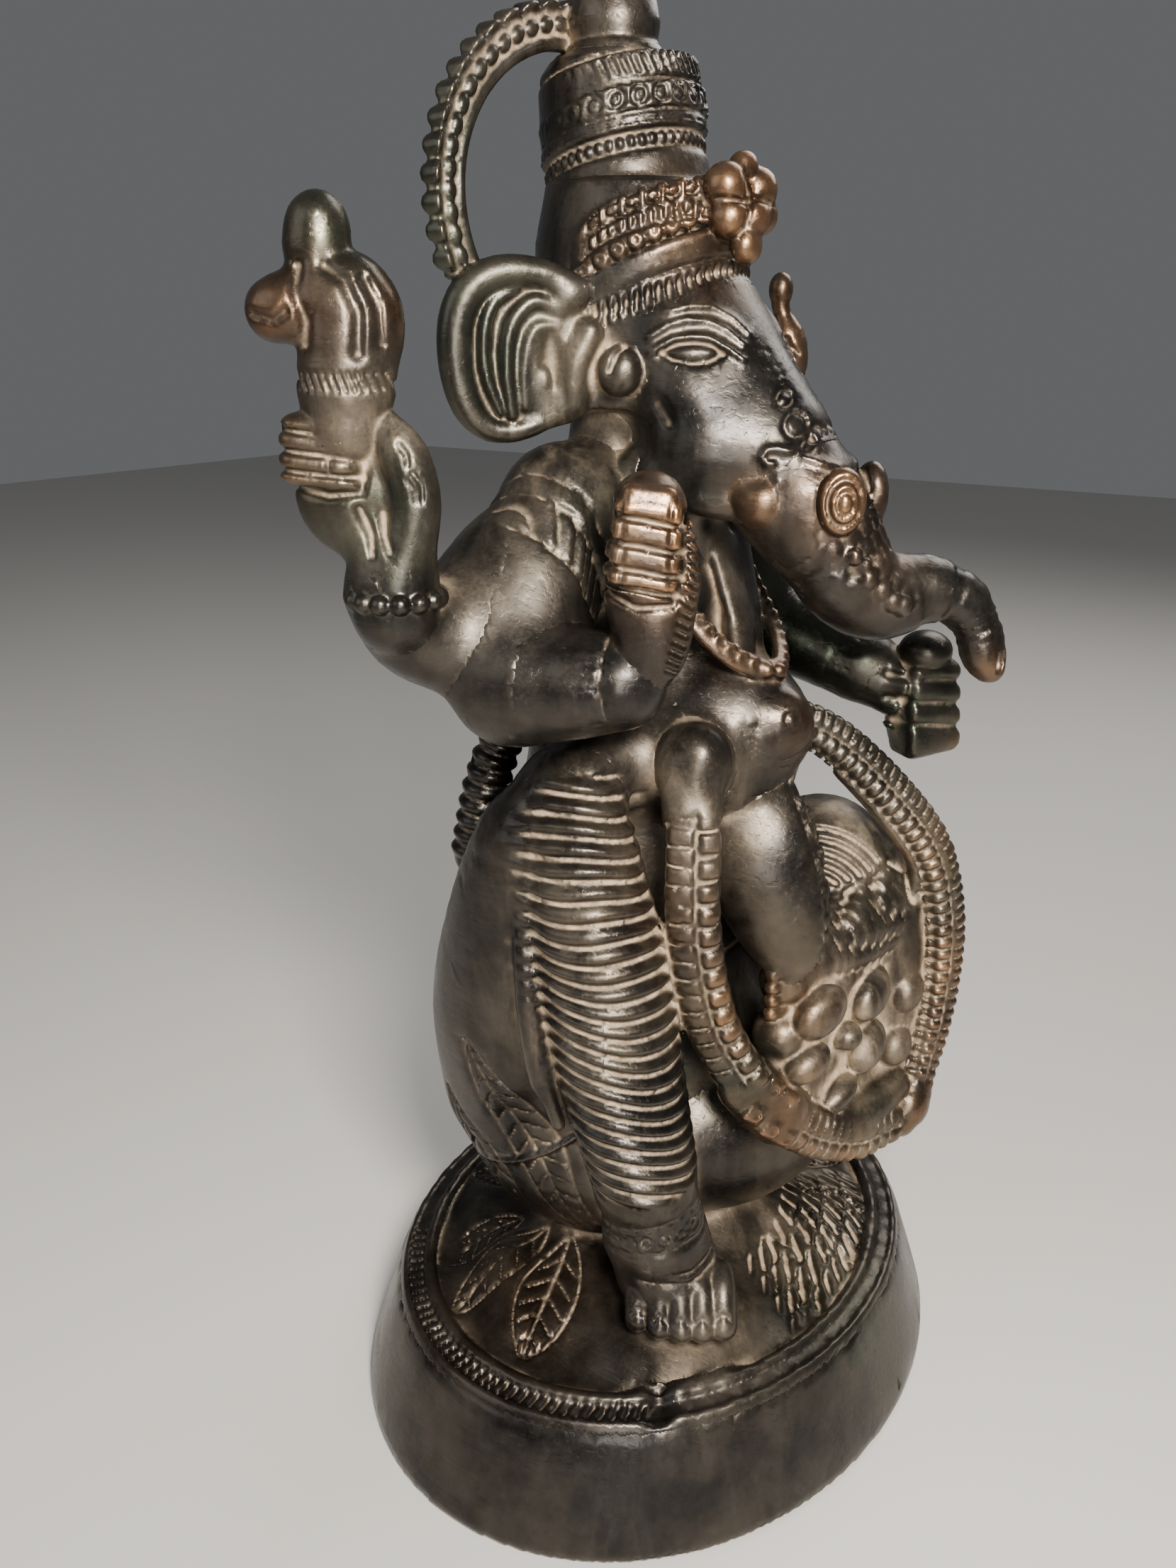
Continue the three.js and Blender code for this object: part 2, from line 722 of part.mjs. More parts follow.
addNode("plinth", BRONZE, plinthShape);
addNode("rim_band", BRONZE, rimBandShape);
addNode("mound", DUSTY_BRONZE, moundShape);
addNode("right_foot", BRONZE, rightFootShape);
addNode("right_anklet", BRONZE, rightAnkletShape);
addNode("right_shin", DUSTY_BRONZE, rightShinShape);
addNode("right_thigh", BRONZE, rightThighShape);
addNode("left_foot", WORN_COPPER, leftFootShape);
addNode("left_shin", DUSTY_BRONZE, leftShinShape);
addNode("left_thigh", DUSTY_BRONZE, leftThighShape);
addNode("belly", BRONZE, bellyShape);
addNode("torso", BRONZE, torsoShape);
addNode("hips", BRONZE, hipsShape);
addNode("seat", DUSTY_BRONZE, seatShape);
addNode("front_sash", DUSTY_BRONZE, frontSashShape);
addNode("rear_sash", BRONZE, rearSashShape);

addNode("trunk", BRONZE, trunkShape);
addNode("head", BRONZE, headShape);
for (const [label, side] of [["right", -1], ["left", 1]]) {
  addNode(`${label}_tusk`, WORN_COPPER, tuskShape(side));
  addNode(`${label}_medallion`, WORN_COPPER, medallionShape(side));
  addNode(`${label}_ear_stud`, BRONZE, earStudShape(side));
  addNode(`${label}_ear`, BRONZE, earShape(side));
}

addNode("crown_base", BRONZE, crownBaseShape);
addNode("crown_tier", BRONZE, crownTierShape);
addNode("finial", BRONZE, finialShape);
addNode("jewel", WORN_COPPER, jewelShape);
addNode("lower_diadem", BRONZE, diademShape(206.5, CROWN_BASE_RADIUS + 0.4, 4.4, 0.12, 6.5));
addNode("upper_diadem", WORN_COPPER, diademShape(213, CROWN_BASE_RADIUS - 0.2, 4.6, 0.22, 6.5));
addNode("circle_band", BRONZE, crownBandShape(CIRCLE_BAND_Z, CROWN_UPPER_RADIUS + 0.75, 3));
addNode("hatched_band", BRONZE, crownBandShape(HATCHED_BAND_Z, CROWN_UPPER_RADIUS - 0.2, 2.4));
addNode("halo", BRONZE, haloShape);

addNode("right_hand", WORN_COPPER, handShape([-33, -16, 167], -0.96, 1));
addNode("right_upper_arm", BRONZE, upperArmShape(SHOULDER_RIGHT, ELBOW_RIGHT, 1));
addNode("right_forearm", BRONZE, forearmShape(ELBOW_RIGHT, WRIST_RIGHT, 1));
addNode("right_bracelet", BRONZE, cuffShape(WRIST_RIGHT, ELBOW_RIGHT, 6.9, 6));
addNode("right_attribute", BRONZE, styloShape);
addNode("right_back_hand", BRONZE, handShape([-56.5, 18.5, 178], -0.96, 1.05));
addNode("right_back_arm", BRONZE, rightBackArmShape);
addNode("right_back_bracelet", BRONZE, cuffShape(BACK_WRIST_RIGHT, [-51, 16.5, 158], 6, 5));
addNode("right_back_attribute", BRONZE, budShape([-58.5, 18.5, 191], 26, 1, [-6, 8]));
addNode("left_hand", BRONZE, handShape([35.5, -33, 132.5], -0.6, 0.95));
addNode("left_upper_arm", BRONZE, upperArmShape(SHOULDER_LEFT, ELBOW_LEFT, 0.92));
addNode("left_forearm", BRONZE, forearmShape(ELBOW_LEFT, WRIST_LEFT, 0.85));
addNode("left_bracelet", BRONZE, cuffShape(WRIST_LEFT, ELBOW_LEFT, 5.9, 5));
addNode("left_sweet", BRONZE, sweetShape);
addNode("left_back_hand", BRONZE, handShape([56, 11, 182], 0.9, 0.85));
addNode("left_back_arm", BRONZE, leftBackArmShape);
addNode("left_back_attribute", WORN_COPPER, budShape([56, 9.5, 190], 21, 0.72, null));
addNode("scarf", DUSTY_BRONZE, scarfShape);
addNode("necklace", WORN_COPPER, necklaceShape);
addNode("garland_near", DUSTY_BRONZE, garlandNearShape);
addNode("garland_far", DUSTY_BRONZE, garlandFarShape);
addNode("garland_knob", WORN_COPPER, garlandKnobShape);
addNode("garland_hem", WORN_COPPER, garlandHemShape);

export default figure;
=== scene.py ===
# A seated four-armed elephant-headed figure in dark patinated brass, sculpted as clay forms and meshed.
# Sculpting sizes are millimetres in the frame's own axes; meshes are handed over in metres.
import json
import math

import bpy
import numpy as np
import openvdb
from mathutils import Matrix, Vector


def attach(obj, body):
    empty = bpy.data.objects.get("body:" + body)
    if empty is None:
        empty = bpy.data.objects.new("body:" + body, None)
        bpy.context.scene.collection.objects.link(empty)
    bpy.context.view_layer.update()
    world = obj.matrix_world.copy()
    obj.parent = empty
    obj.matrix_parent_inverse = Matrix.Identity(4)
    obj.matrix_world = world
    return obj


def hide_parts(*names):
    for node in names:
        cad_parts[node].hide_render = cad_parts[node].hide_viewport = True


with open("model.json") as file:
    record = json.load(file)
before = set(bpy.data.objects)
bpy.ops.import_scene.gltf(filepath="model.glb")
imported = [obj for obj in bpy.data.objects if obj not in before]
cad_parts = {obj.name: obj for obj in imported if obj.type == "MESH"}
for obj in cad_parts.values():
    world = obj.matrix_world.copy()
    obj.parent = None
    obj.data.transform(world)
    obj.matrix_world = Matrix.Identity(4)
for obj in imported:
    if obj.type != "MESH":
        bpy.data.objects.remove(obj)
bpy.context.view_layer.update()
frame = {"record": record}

MM = 0.001
COARSE = 1.0
# Distances are kept up to FAR; meshing merges faces that lie within SIMPLIFY of flat.
FAR = 9.0
SIMPLIFY = 0.05
# A pattern fades out at this depth from the surface, and over SEAM where another member takes over.
PATTERN_REACH = 2.5
SEAM = 0.8
# Neighbouring members run this far into each other.
OVERLAP = 0.3


# ---------------------------------------------------------------- clay forms

def spline(stations, count):
    """Catmull-Rom samples through stations, keeping every column."""
    p = np.array(stations, float)
    p = np.vstack([2 * p[0] - p[1], p, 2 * p[-1] - p[-2]])
    spans = len(p) - 3
    t = np.linspace(0, spans, count)
    i = np.minimum(t.astype(int), spans - 1)
    f = (t - i)[:, None]
    a, b, c, d = p[i], p[i + 1], p[i + 2], p[i + 3]
    cubic = (3 * b - a - 3 * c + d) * f**3
    return 0.5 * (2 * b + (c - a) * f + (2 * a - 5 * b + 4 * c - d) * f**2 + cubic)


def unit(v):
    v = np.array(v, float)
    return v / np.linalg.norm(v)


def turn(z=0, x=0, y=0):
    """Rotation matrix: tilt about X, then Y, then turn about Z, in degrees."""
    az, ax, ay = (math.radians(k) for k in (z, x, y))
    rz = np.array([[math.cos(az), -math.sin(az), 0], [math.sin(az), math.cos(az), 0], [0, 0, 1]])
    rx = np.array([[1, 0, 0], [0, math.cos(ax), -math.sin(ax)], [0, math.sin(ax), math.cos(ax)]])
    ry = np.array([[math.cos(ay), 0, math.sin(ay)], [0, 1, 0], [-math.sin(ay), 0, math.cos(ay)]])
    return rz @ ry @ rx


class Ball:
    """An ellipsoid."""

    def __init__(self, centre, radii, matrix=None):
        self.centre = np.array(centre, float)
        self.radii = np.array(np.broadcast_to(radii, 3), float)
        self.matrix = matrix
        reach = self.radii if matrix is None else np.full(3, self.radii.max())
        self.low, self.high = self.centre - reach, self.centre + reach

    def distance(self, x, y, z):
        p = [x - self.centre[0], y - self.centre[1], z - self.centre[2]]
        if self.matrix is not None:
            m = self.matrix
            p = [p[0] * m[0, i] + p[1] * m[1, i] + p[2] * m[2, i] for i in range(3)]
        if np.ptp(self.radii) < 1e-6:
            return np.sqrt(p[0] ** 2 + p[1] ** 2 + p[2] ** 2) - self.radii[0]
        near = sum((q / r) ** 2 for q, r in zip(p, self.radii))
        slope = sum((q / r**2) ** 2 for q, r in zip(p, self.radii))
        near = np.sqrt(near)
        return near * (near - 1) / np.maximum(np.sqrt(slope), 1e-6)


class Box:
    """A rounded block."""

    def __init__(self, centre, half, matrix, rounding):
        self.centre, self.half = np.array(centre, float), np.array(half, float)
        self.matrix, self.rounding = matrix, rounding
        reach = np.linalg.norm(self.half)
        self.low, self.high = self.centre - reach, self.centre + reach

    def distance(self, x, y, z):
        p = [x - self.centre[0], y - self.centre[1], z - self.centre[2]]
        m = self.matrix
        p = [p[0] * m[0, i] + p[1] * m[1, i] + p[2] * m[2, i] for i in range(3)]
        q = [np.abs(k) - h + self.rounding for k, h in zip(p, self.half)]
        outside = np.sqrt(sum(np.maximum(k, 0) ** 2 for k in q))
        return outside + np.minimum(np.maximum(np.maximum(q[0], q[1]), q[2]), 0) - self.rounding


class Limb:
    """A round-ended body along stations [x, y, z, radius]; flat thins it in the direction of face."""

    def __init__(self, stations, count=0, flat=1.0, face=(0, -1, 0)):
        path = np.array(stations, float)
        if len(stations) > 2:
            path = spline(stations, count or 4 * len(stations))
        self.centre, self.radius, self.flat = path[:, :3], np.maximum(path[:, 3], 0.15), flat
        legs = np.diff(self.centre, axis=0)
        self.length = np.linalg.norm(legs, axis=1)
        self.start = np.concatenate([[0], np.cumsum(self.length)])
        self.tangent = legs / self.length[:, None]
        across = unit(face) - self.tangent * (self.tangent @ unit(face))[:, None]
        self.face = across / np.linalg.norm(across, axis=1)[:, None]
        self.side = np.cross(self.tangent, self.face)
        reach = self.radius.max()
        self.low, self.high = self.centre.min(0) - reach, self.centre.max(0) + reach

    def follow(self, x, y, z):
        """Distance, length along the limb, and offsets toward face and side."""
        best = np.full(np.broadcast_shapes(x.shape, y.shape, z.shape), 1e6, np.float32)
        along, ahead, aside = np.zeros_like(best), np.zeros_like(best), np.zeros_like(best)
        for i, (a, t, n, s) in enumerate(zip(self.centre, self.tangent, self.face, self.side)):
            wx, wy, wz = x - a[0], y - a[1], z - a[2]
            k = np.clip(wx * t[0] + wy * t[1] + wz * t[2], 0, self.length[i])
            wx, wy, wz = wx - k * t[0], wy - k * t[1], wz - k * t[2]
            u = wx * n[0] + wy * n[1] + wz * n[2]
            square = wx**2 + wy**2 + wz**2
            if self.flat != 1:
                square = square + u**2 * (1 / self.flat**2 - 1)
            rate = (self.radius[i + 1] - self.radius[i]) / self.length[i]
            d = np.sqrt(square) - self.radius[i] - k * rate
            closer = d < best
            best = np.where(closer, d, best)
            along = np.where(closer, self.start[i] + k, along)
            ahead = np.where(closer, u, ahead)
            aside = np.where(closer, wx * s[0] + wy * s[1] + wz * s[2], aside)
        return best * (1 + self.flat) / 2, along, ahead, aside

    def distance(self, x, y, z):
        return self.follow(x, y, z)[0]

    def place(self, s, ahead=0.0, aside=0.0):
        """The point at length s along the limb, moved toward its face and side by radii."""
        i = min(int(np.searchsorted(self.start, s, side="right")) - 1, len(self.length) - 1)
        k = (s - self.start[i]) / self.length[i]
        radius = self.radius[i] * (1 - k) + self.radius[i + 1] * k
        at = self.centre[i] * (1 - k) + self.centre[i + 1] * k
        return at + self.face[i] * ahead * radius * self.flat + self.side[i] * aside * radius


class Hoop:
    """A rounded band of given half width and half thickness at radius about an axis."""

    def __init__(self, centre, axis, radius, half_width, half_thickness, rounding=0.4):
        self.centre, self.axis = np.array(centre, float), unit(axis)
        self.radius, self.width, self.thick, self.rounding = radius, half_width, half_thickness, rounding
        reach = radius + half_thickness + half_width
        self.low, self.high = self.centre - reach, self.centre + reach

    def distance(self, x, y, z):
        px, py, pz = x - self.centre[0], y - self.centre[1], z - self.centre[2]
        h = px * self.axis[0] + py * self.axis[1] + pz * self.axis[2]
        r = np.sqrt(np.maximum(px**2 + py**2 + pz**2 - h**2, 0))
        a = np.abs(r - self.radius) - (self.thick - self.rounding)
        b = np.abs(h) - (self.width - self.rounding)
        outside = np.sqrt(np.maximum(a, 0) ** 2 + np.maximum(b, 0) ** 2)
        return outside + np.minimum(np.maximum(a, b), 0) - self.rounding


class Turned:
    """An upright turned solid from an outline of [radius, z], squashed in depth and leaning back."""

    def __init__(self, outline, centre=(0, 0), depth=1.0, lean=0.0):
        self.outline, self.centre, self.depth, self.lean = np.array(outline, float), centre, depth, lean
        r, z = self.outline[:, 0].max(), self.outline[:, 1]
        self.low = np.array([centre[0] - r, centre[1] - r * depth, z.min()])
        self.high = np.array([centre[0] + r, centre[1] + r * depth + lean * np.ptp(z), z.max()])

    def distance(self, x, y, z):
        middle = self.centre[1] + self.lean * (z - self.outline[0, 1])
        r = np.sqrt((x - self.centre[0]) ** 2 + ((y - middle) / self.depth) ** 2)
        r, z = np.broadcast_arrays(r, z)
        best = np.full(r.shape, 1e6)
        inside = np.zeros(r.shape, bool)
        for (r0, z0), (r1, z1) in zip(self.outline, np.roll(self.outline, -1, 0)):
            dr, dz = r1 - r0, z1 - z0
            if r0 > 0 or r1 > 0:
                k = np.clip(((r - r0) * dr + (z - z0) * dz) / (dr**2 + dz**2), 0, 1)
                best = np.minimum(best, (r - r0 - k * dr) ** 2 + (z - z0 - k * dz) ** 2)
            if dz:
                crosses = (z0 > z) != (z1 > z)
                inside ^= crosses & (r < r0 + (z - z0) * dr / dz)
        return np.sqrt(best) * np.where(inside, -1, 1) * (1 + self.depth) / 2


# ---------------------------------------------------------------- sculpting steps

STEPS = []
MEMBERS = []


def member(name):
    if name not in MEMBERS:
        MEMBERS.append(name)
    return MEMBERS.index(name)


def add(name, form, blend=1.2):
    """Join a form to the figure, as metal of the named member."""
    STEPS.append(("add", member(name), form, blend))
    return form


def cut(form, blend=0.5):
    """Take a form away from the figure."""
    STEPS.append(("cut", None, form, blend))


def relief(name, low, high, change):
    """Sink a member's surface, or any for None, by change(x, y, z) between two corners."""
    index = None if name is None else member(name)
    STEPS.append(("relief", index, (np.array(low, float), np.array(high, float), change), 0))


def engrave(name, points, direction, width=0.5, depth=0.45, reach=6.0):
    """A line sunk into the surface (or raised, for a negative depth), seen along direction."""
    direction = unit(direction)
    points = np.array(points, float)
    flat = points - np.outer(points @ direction, direction)

    def change(x, y, z):
        along = x * direction[0] + y * direction[1] + z * direction[2]
        px, py, pz = x - along * direction[0], y - along * direction[1], z - along * direction[2]
        best = np.full(np.broadcast_shapes(x.shape, y.shape, z.shape), 1e6)
        for a, b in zip(flat, flat[1:]):
            leg = b - a
            qx, qy, qz = px - a[0], py - a[1], pz - a[2]
            k = np.clip((qx * leg[0] + qy * leg[1] + qz * leg[2]) / (leg @ leg), 0, 1)
            gap = (qx - k * leg[0]) ** 2 + (qy - k * leg[1]) ** 2 + (qz - k * leg[2]) ** 2
            best = np.minimum(best, gap)
        return depth * np.exp(-best / width**2)

    spread = reach * np.abs(direction) + 2 * width
    relief(name, points.min(0) - spread, points.max(0) + spread, change)


class Clay:
    """Distance to the metal's surface on a grid, with the two nearest members."""

    def __init__(self, low, high, voxel):
        self.voxel = voxel * COARSE
        self.low = np.array(low, float)
        self.shape = tuple(int(k) for k in np.ceil((np.array(high) - self.low) / self.voxel) + 1)
        self.field = np.full(self.shape, FAR, np.float32)
        self.near = np.full(self.shape, FAR, np.float32)
        self.next = np.full(self.shape, FAR, np.float32)
        self.owner = np.zeros(self.shape, np.uint8)
        self.rival = np.zeros(self.shape, np.uint8)

    def window(self, low, high, margin):
        first = np.floor((np.array(low) - margin - self.low) / self.voxel).astype(int)
        last = np.ceil((np.array(high) + margin - self.low) / self.voxel).astype(int) + 1
        first, last = np.maximum(first, 0), np.minimum(last, self.shape)
        if (last <= first).any():
            return None
        axes = [self.low[i] + np.arange(first[i], last[i], dtype=np.float32) * self.voxel for i in range(3)]
        slices = tuple(slice(a, b) for a, b in zip(first, last))
        x, y, z = np.meshgrid(*(a.astype(np.float32) for a in axes), indexing="ij", sparse=True)
        return slices, x, y, z

    def work(self, kind, index, form, blend):
        if kind == "relief":
            low, high, change = form
            found = self.window(low, high, 0)
            if found is None:
                return
            w, x, y, z = found
            sunk = change(x, y, z)
            if index is not None:
                edge = np.clip((self.next[w] - self.near[w]) / SEAM, 0, 1)
                sunk = sunk * np.where(self.owner[w] == index, edge, 0)
            self.field[w] += sunk * np.exp(-((self.field[w] / PATTERN_REACH) ** 2))
            return
        margin = PATTERN_REACH + blend if kind == "add" else 1.5
        found = self.window(form.low, form.high, margin)
        if found is None:
            return
        w, x, y, z = found
        d = form.distance(x, y, z).astype(np.float32)
        field = self.field[w]
        if kind == "cut":
            h = np.maximum(blend - np.abs(field + d), 0) / blend
            self.field[w] = np.maximum(field, -d) + h * h * blend / 4
            return
        h = np.maximum(blend - np.abs(field - d), 0) / blend
        self.field[w] = np.minimum(field, d) - h * h * blend / 4
        near, rest, owner, rival = self.near[w], self.next[w], self.owner[w], self.rival[w]
        mine = owner == index
        wins = d < near
        fresh = wins & ~mine
        rest[:] = np.where(fresh, near, rest)
        rival[:] = np.where(fresh, owner, rival)
        near[:] = np.where(wins, d, near)
        owner[:] = np.where(wins, index, owner)
        second = ~wins & ~mine & (d < rest)
        rest[:] = np.where(second, d, rest)
        rival[:] = np.where(second, index, rival)

    def sculpt(self):
        """Carry out every step inside this block of clay."""
        for step in STEPS:
            self.work(*step)

    def blurred(self, radius):
        """The field, softened over about radius millimetres."""
        soft = np.clip(self.field, -radius, radius)
        half = max(1, int(round(radius / self.voxel / 2)))
        for axis in range(3):
            for _ in range(2):
                edges = [(half + 1, half) if a == axis else (0, 0) for a in range(3)]
                padded = np.pad(soft, edges, mode="edge")
                sums = np.cumsum(padded, axis=axis, dtype=np.float32)
                high = np.take(sums, np.arange(2 * half + 1, sums.shape[axis]), axis=axis)
                low = np.take(sums, np.arange(0, sums.shape[axis] - 2 * half - 1), axis=axis)
                soft = (high - low) / (2 * half + 1)
        return soft

    def sample(self, grid, points):
        p = (points - self.low) / self.voxel
        i = np.clip(np.floor(p).astype(int), 0, np.array(self.shape) - 2)
        f = p - i
        value = 0
        for corner in range(8):
            c = [(corner >> a) & 1 for a in range(3)]
            weight = np.prod([f[:, a] if c[a] else 1 - f[:, a] for a in range(3)], axis=0)
            value = value + weight * grid[i[:, 0] + c[0], i[:, 1] + c[1], i[:, 2] + c[2]]
        return value

    def piece(self, name):
        """Points, triangles and quads of one member, cut off where a neighbour is as near."""
        index = member(name)
        mine, near_me = self.owner == index, self.rival == index
        holds = (mine | near_me) & (self.field < 2)
        spans = [np.flatnonzero(holds.any(axis=others)) for others in ((1, 2), (0, 2), (0, 1))]
        if any(len(s) == 0 for s in spans):
            raise ValueError("nothing of " + name)
        w = tuple(slice(max(s[0] - 3, 0), s[-1] + 4) for s in spans)
        lead = self.next[w] - self.near[w]
        gap = np.where(mine[w], -lead, np.where(near_me[w], lead, FAR))
        body = np.maximum(self.field[w], gap / 2 - OVERLAP)
        body = np.pad(body, 2, constant_values=FAR)
        reach = 3 * self.voxel
        grid = openvdb.FloatGrid(reach)
        grid.copyFromArray(np.clip(body, -reach, reach).astype(np.float32))
        points, triangles, quads = grid.convertToPolygons(0.0, SIMPLIFY)
        corner = self.low + (np.array([s.start for s in w]) - 2) * self.voxel
        return points * self.voxel + corner, triangles, quads


# ---------------------------------------------------------------- patterns

def wrap(u, pitch):
    """u measured from the nearest multiple of pitch."""
    return u - pitch * np.round(u / pitch)


def line(u, width):
    """1 where u is 0, falling away softly over width."""
    return np.exp(-((u / width) ** 2))


def span(u, half, soft=0.35):
    """1 where |u| < half, falling to 0 over soft."""
    return np.clip((half - np.abs(u)) / soft + 0.5, 0, 1)


def polar(x, y, centre=(0, 0), depth=1.0):
    """Angle in degrees and radius about an upright axis."""
    dx, dy = x - centre[0], (y - centre[1]) / depth
    return np.degrees(np.arctan2(dy, dx)), np.sqrt(dx**2 + dy**2)


def rings_in_row(u, h, pitch, radius, width=0.4):
    """A row of punched circles, each with a dot."""
    r = np.sqrt(wrap(u, pitch) ** 2 + h**2)
    return line(r - radius, width) + 0.8 * line(r, width)


def along_limb(name, limb, pattern, margin=1.5):
    """pattern(along, aside, ahead) sinks the surface near a limb; all in millimetres."""

    def change(x, y, z):
        _, along, ahead, aside = limb.follow(x, y, z)
        return pattern(along, aside, ahead)

    relief(name, limb.low - margin, limb.high + margin, change)


def mirrored(points):
    """The same points on the other side of the figure."""
    return [(-p[0], *p[1:]) for p in points]


# ---------------------------------------------------------------- base

DEPTH = 0.82
PLINTH = [
    (0, 0.05), (66.8, 0.05), (66.8, 2.2), (65.6, 6), (61.8, 16), (60.2, 20.4), (59.0, 22.1), (0, 22.2),
]
add("plinth", Turned(PLINTH, depth=DEPTH), 0.2)
BAND = [
    (51.6, 21.5), (58.9, 21.5), (58.8, 22.6), (58.3, 23.2), (57.5, 23.3), (57.1, 22.9), (54.4, 23.3),
    (53.8, 24.2), (52.9, 24.5), (52.0, 24.2), (51.6, 23.4),
]
add("rim_band", Turned(BAND, depth=DEPTH), 0.4)
MOUND = [
    (0, 21.5), (52.2, 21.5), (52, 22.6), (48, 23.2), (40, 24.8), (30, 27.6), (21, 32), (10, 34.6),
    (0, 35.2),
]
add("mound", Turned(MOUND, depth=DEPTH), 1.5)
for centre, radii, blend in (
    ((-26, -20, 22), (15, 13, 6), 5), ((-31, 5, 22), (15, 14, 6.5), 5), ((12, -30, 22.5), (14, 9, 5), 4),
):
    add("mound", Ball(centre, radii), blend)


def band_ticks(x, y, z):
    angle, radius = polar(x, y, depth=DEPTH)
    arc = np.radians(angle) * 56
    hatched = span(wrap(angle - 170, 360), 46, 5)
    ticks = line(wrap(arc + 0.3 * (radius - 56), 2.5), 0.36) * span(radius - 55.7, 1.7)
    worn = 0.45 * np.sin(arc * 0.9) * np.sin(arc * 0.37 + 1) * (1 - hatched)
    break_off = 1.1 * line(wrap(angle - 218, 360), 2.2)
    return np.where(z > 22.2, 0.8 * ticks * hatched + 0.3 * worn + break_off, 0)


def mound_folds(x, y, z):
    """Slow lumps, so that the ground is uneven rather than turned."""
    lumps = np.sin(x * 0.17 + 1.2) * np.cos(y * 0.21 - 0.4) + 0.6 * np.sin(x * 0.31 - y * 0.27)
    return 0.8 * lumps


relief("rim_band", (-60, -50, 21), (60, 50, 25.5), band_ticks)
relief("mound", (-52, -43, 22.5), (52, 43, 36), mound_folds)


def leaf(start, end, width, pairs, depth=0.7):
    """An engraved leaf on the ground: a midrib, slanting veins and a pointed outline."""
    start, end = np.array(start, float), np.array(end, float)
    run = end - start
    length = np.linalg.norm(run)
    t = run / length

    def change(x, y, z):
        u = (x - start[0]) * t[0] + (y - start[1]) * t[1]
        v = (y - start[1]) * t[0] - (x - start[0]) * t[1]
        half = width * np.sin(np.pi * np.clip(u / length, 0.02, 0.98)) ** 0.7
        inside = span(u - length / 2, length / 2, 0.6)
        veins = line(wrap(u - 0.9 * np.abs(v), length / pairs), 0.35) * span(v, half * 0.85)
        edge = line(np.abs(v) - half, 0.4)
        return depth * inside * np.maximum(np.maximum(line(v, 0.45), edge), veins * 0.9)

    ends = np.array([start, end])
    low, high = ends.min(0) - width - 1, ends.max(0) + width + 1
    relief("mound", (*low, 22), (*high, 37), change)


# Leaves as run and width, the first three on the worn left side.
LEAVES = [
    ((-24, 5), (-49, -2), 5.6, 6), ((-22, 12), (-46, 17), 5.0, 6), ((-20, 20), (-38, 29), 4.2, 6),
    ((3, -24), (-7, -41), 4.4, 4), ((11, -26), (10, -42), 4.6, 5), ((20, -24), (27, -36), 4.4, 5),
    ((30, -16), (44, -22), 4.6, 6), ((34, -2), (49, 0), 4.6, 6), ((30, 14), (44, 23), 4.6, 6),
    ((12, 24), (20, 39), 4.4, 6), ((-8, 25), (-12, 40), 4.4, 6),
]
for start, end, width, pairs in LEAVES:
    leaf(start, end, width, pairs)


def feathers(x, y, z):
    """Curved dashes combed outward over the front of the ground."""
    angle, radius = polar(x, y, depth=DEPTH)
    row = np.round((radius - 27) / 5.4)
    along = radius - 27 - 5.4 * row
    arc = np.radians(angle) * (27 + 5.4 * row) + 1.9 * row + 0.9 * along
    cuts = line(wrap(arc, 4.3), 0.85) * span(along, 2.3, 0.9)
    where = span(wrap(angle - 286, 360), 30, 6) * span(radius - 40, 10, 2)
    return 1.5 * cuts * where


relief("mound", (-30, -43, 22), (45, -2, 34), feathers)

# ---------------------------------------------------------------- hips, legs and seat

add("hips", Ball((-3, 8, 49), (31, 28, 23.6)), 2)
add("hips", Ball((0, 8, 74), (30, 27, 30)), 6)
THIGH = [
    (-16, 16, 63, 21), (-20, 15, 80, 20.3), (-27, 11, 100, 15.3), (-32, 7, 116, 10.6),
    (-33.4, 4.6, 121, 8.4),
]
thigh = add("right_thigh", Limb(THIGH, 18), 5)
SHIN = [
    (-31.4, -1.8, 128.6, 6.6), (-32.8, -3.8, 121, 9.2), (-33, -5.2, 112, 10.5), (-31.6, -8, 96, 11.4),
    (-30, -11, 76, 11), (-27.4, -14.2, 56, 9.8),
]
add("right_shin", Limb(SHIN, 20, face=(-0.7, -0.7, 0)), 2.2)
TORSO = [
    (0, 8, 98, 23.5), (0, 7, 118, 21), (0, 7, 138, 18), (0, 7, 156, 17.3), (0, 6, 170, 13),
    (0, 4, 180, 11),
]
add("torso", Limb(TORSO, 16), 6)
add("left_thigh", Limb([(15, 8, 72, 19), (22, -6, 90, 17.6), (27, -20, 99, 14.4)], 10), 4)
LEFT_SHIN = [(30, -28.5, 95, 11), (19, -28.5, 91.5, 9.6), (7, -27, 89, 7.4)]
left_shin = add("left_shin", Limb(LEFT_SHIN, 12, face=(0, -0.8, 0.6)), 3)
add("belly", Limb([(0, -2, 132, 18), (0, -12, 134, 14.3), (0, -20.4, 134.5, 8.2)], 8), 5)

# Hem of the cloth down the front of the thigh.
HEM_EDGE = [
    (-38.6, -0.5, 124, 1.8), (-40.4, 1.6, 110, 2.0), (-40.6, 1.6, 94, 2.2), (-39.4, 0.4, 80, 2.4),
    (-37.6, -2.4, 68, 2.2),
]
add("right_thigh", Limb(HEM_EDGE, 16), 1.6)
# The top of the knee runs flat into the waist, with a dark hollow beside it.
add("torso", Limb([(-28, 3, 128, 7), (-21, -2, 131, 8), (-12, -8, 132, 8)], 8), 5)
add("torso", Limb([(-12, -12, 126, 5), (0, -17, 124, 6), (11, -14, 125, 6), (20, -5, 128, 5)], 12), 5)
cut(Ball((-23.4, -9.6, 123.4), (3.2, 3.4, 4.2)), 1.2)


